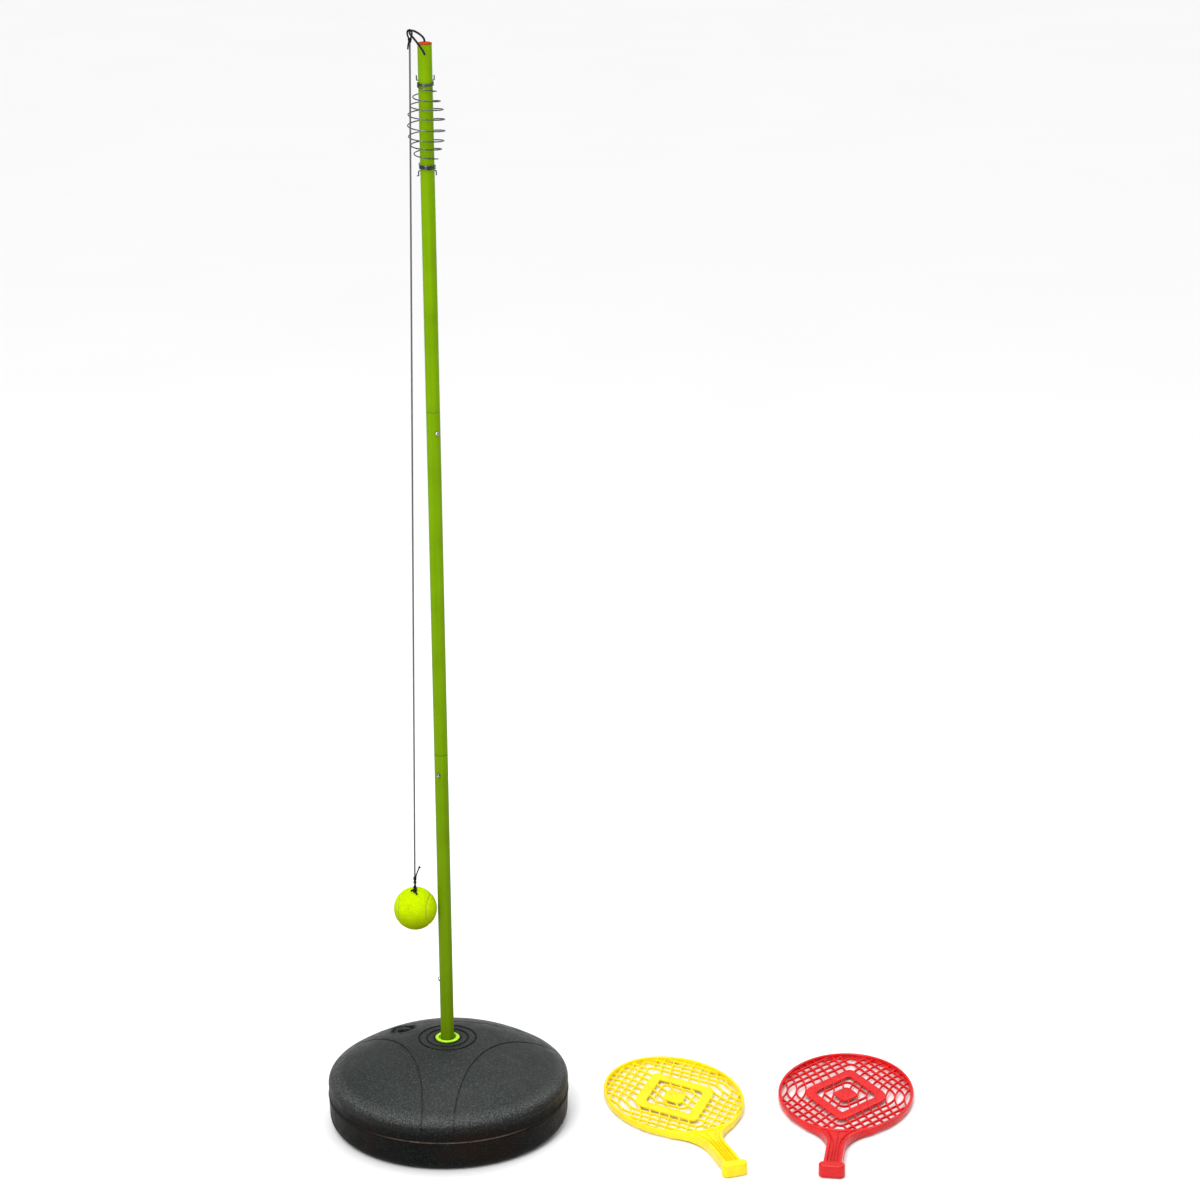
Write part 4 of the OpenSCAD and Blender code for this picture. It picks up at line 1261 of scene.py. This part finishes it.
def web():
    """The sheet between the rails, from the rim to the butt."""
    right = [p for p in throat_side(1) if p[1] < -100]
    cols, steps = 9, 30
    verts, faces = [], []
    for i in range(steps + 1):
        y_edge = -112 + i / steps * (GRIP_Y + 112)
        half_w = float(np.interp(-y_edge, [-p[1] for p in right], [p[0] for p in right]))
        for z in (1, -1):
            for c in range(cols):
                x = half_w * (2 * c / (cols - 1) - 1)
                rim_y = -(HEAD_L / 2 - 2) * math.sqrt(max(0.0, 1 - (x / (HEAD_W / 2)) ** 2))
                y = min(y_edge, rim_y)
                t = 2.6 + 0.9 * min(1.0, max(0.0, (-y_edge - 120) / 60))
                verts.append((x * MM, y * MM, z * t * MM))
    w = 2 * cols
    for i in range(steps):
        a, b = i * w, (i + 1) * w
        for c in range(cols - 1):
            faces.append((a + c, a + c + 1, b + c + 1, b + c))
            faces.append((a + cols + c, b + cols + c, b + cols + c + 1, a + cols + c + 1))
        faces.append((a, b, b + cols, a + cols))
        faces.append((a + cols - 1, a + 2 * cols - 1, b + 2 * cols - 1, b + cols - 1))
    for a in (0, steps * w):
        for c in range(cols - 1):
            faces.append((a + c, a + cols + c, a + cols + c + 1, a + c + 1))
    return add_mesh("web", verts, faces)


def rib(x0):
    """A rib of the handle, which fans out and gets lower at the throat."""
    pts = []
    for i in range(22):
        s = i / 21
        y = GRIP_Y + s * (-133 - GRIP_Y)
        fan = max(0.0, (y + 190) / 57)
        pts.append((x0 * (1 + 3.2 * fan * fan), y))
    section = soft_section(1.8 * MM, (HANDLE_T - 3) * MM, 0.8 * MM, 2)
    obj = sweep("rib", flat(pts), section, up=(0, 0, 1))
    squash_rows(obj, len(section), [1 - 0.42 * max(0.0, (y + 185) / 52) for _, y in pts])
    return obj


def butt():
    """The handle's end: a stadium block with round edges."""
    outline = []
    for s, a0 in ((1, -90), (-1, 90)):
        outline += corner((s * (BUTT_W - BUTT_L) / 2, GRIP_Y), BUTT_L / 2, a0, a0 + 180, 16)
    turns = [math.radians(15 * t) for t in range(7)]
    levels = [(2.4 * (1 - math.sin(a)), -BUTT_T / 2 + 2.4 * (1 - math.cos(a))) for a in turns]
    levels += [(i, -z) for i, z in reversed(levels)]
    verts = []
    for inset, z in levels:
        for x, y in outline:
            d = Vector((x - max(-1, min(1, x / 11)) * 11, y - GRIP_Y))
            d = d.normalized() if d.length > 0.1 else Vector((0, 1))
            verts.append(((x - d.x * inset) * MM, (y - d.y * inset) * MM, z * MM))
    n = len(outline)
    faces = quads(len(levels), n)
    faces += [tuple(range(n)), tuple(range((len(levels) - 1) * n, len(levels) * n))]
    return add_mesh("butt", verts, faces)


def bat(name, mat):
    parts = []
    rx, ry = HEAD_W / 2 - RIM_W / 2, HEAD_L / 2 - RIM_W / 2
    turns = [TAU * i / 200 for i in range(200)]
    rim = [(math.cos(a) * rx, math.sin(a) * ry) for a in turns]
    parts.append(bar(rim, RIM_W, RIM_T, closed=True, r=1.7))
    for half, foot in ((35.9, 32.4), (86, 75.6), (102, 90), (118, 104), (134, 118)):
        runs, whole = clip(diamond(half, foot, 8), closed=True)
        for run in runs:
            parts.append(bar(run, BAR_W, LATTICE_T, closed=whole))
    for k in range(-2, 7):
        for side in (-1, 1):
            for half in (1,) if k >= 0 else (-1, 1):
                for run in clip(curve_bar(k, side, half))[0]:
                    parts.append(bar(run, CURVE_W, LATTICE_T + 0.3))
    parts.append(bar([(0, y - DROP) for y in (127, 129, 131, 134, 137)], CURVE_W, LATTICE_T))
    parts.append(plate("band", diamond(69.3, 61.3, 7.4), diamond(48.6, 45, 1.5), BAND_T))
    parts.append(plate("centre", diamond(20.5, 17.7, 6.6), [(0, -DROP)], BAND_T))
    parts += [rail(-1), rail(1), web()]
    parts += [rib(x0) for x0 in (-4.3, 0, 4.3)]
    parts.append(butt())

    x, y, turn = BAT_PLACE[mat]
    tilt = -math.atan2((BUTT_T - RIM_T) / 2, BAT_L - BUTT_L)
    place = (
        Matrix.Translation((x * MM, y * MM, 0))
        @ Matrix.Rotation(math.radians(turn), 4, "Z")
        @ Matrix.Translation((0, HEAD_L / 2 * MM, 0))
        @ Matrix.Rotation(tilt, 4, "X")
        @ Matrix.Translation((0, -HEAD_L / 2 * MM, RIM_T / 2 * MM))
    )
    body = join(name, parts)
    body.data.transform(place)
    body.data.shade_smooth()
    finish_piece(body, mat, mat + "_bat", "bat_" + mat, "bat_" + mat, sharp=50)


bat("bat_yellow_moulding", "yellow")
bat("bat_red_moulding", "red")


# ---------------------------------------------------------------- floor and light
def stage():
    floor = add_mesh("floor", [(-90, -90, 0), (90, -90, 0), (90, 90, 0), (-90, 90, 0)], [(0, 1, 2, 3)], False)
    floor.location.z = -0.0004
    floor.data.materials.append(floor_paint())
    scene = bpy.context.scene
    world = bpy.data.worlds.new("studio")
    world.use_nodes = True
    nodes, links = world.node_tree.nodes, world.node_tree.links
    where = nodes.new("ShaderNodeTexCoord")
    split = nodes.new("ShaderNodeSeparateXYZ")
    links.new(where.outputs["Generated"], split.inputs["Vector"])
    ramp = nodes.new("ShaderNodeValToRGB")
    for element, (at, level) in zip(ramp.color_ramp.elements, ((0.0, 0.17), (1.0, 1.0))):
        element.position = at
        element.color = (level, level, level, 1)
    ramp.color_ramp.interpolation = "EASE"
    links.new(split.outputs["Z"], ramp.inputs["Fac"])
    links.new(ramp.outputs["Color"], nodes["Background"].inputs["Color"])
    nodes["Background"].inputs["Strength"].default_value = 1.12
    scene.world = world
    scene.view_settings.view_transform = "Standard"
    sun = bpy.data.lights.new("key", "SUN")
    sun.energy = 1.25
    sun.angle = math.radians(28)
    key = new_object("key", sun)
    key.matrix_world = Matrix.Rotation(math.radians(-24), 4, "Z") @ Matrix.Rotation(math.radians(34), 4, "X")
    for name, at, size, energy in (
        ("front", (-1.1, -2.2, 2.2), 1.4, 24),
        ("rim", (1.8, 1.6, 1.9), 1.0, 10),
        ("top", (0, 0.3, 3.3), 1.3, 28),
    ):
        light = bpy.data.lights.new(name, "AREA")
        light.energy = energy
        light.size = size
        obj = new_object(name, light)
        obj.location = at
        obj.rotation_euler = (Vector((0.1, 0, 0.5)) - Vector(at)).to_track_quat("-Z", "Y").to_euler()


stage()
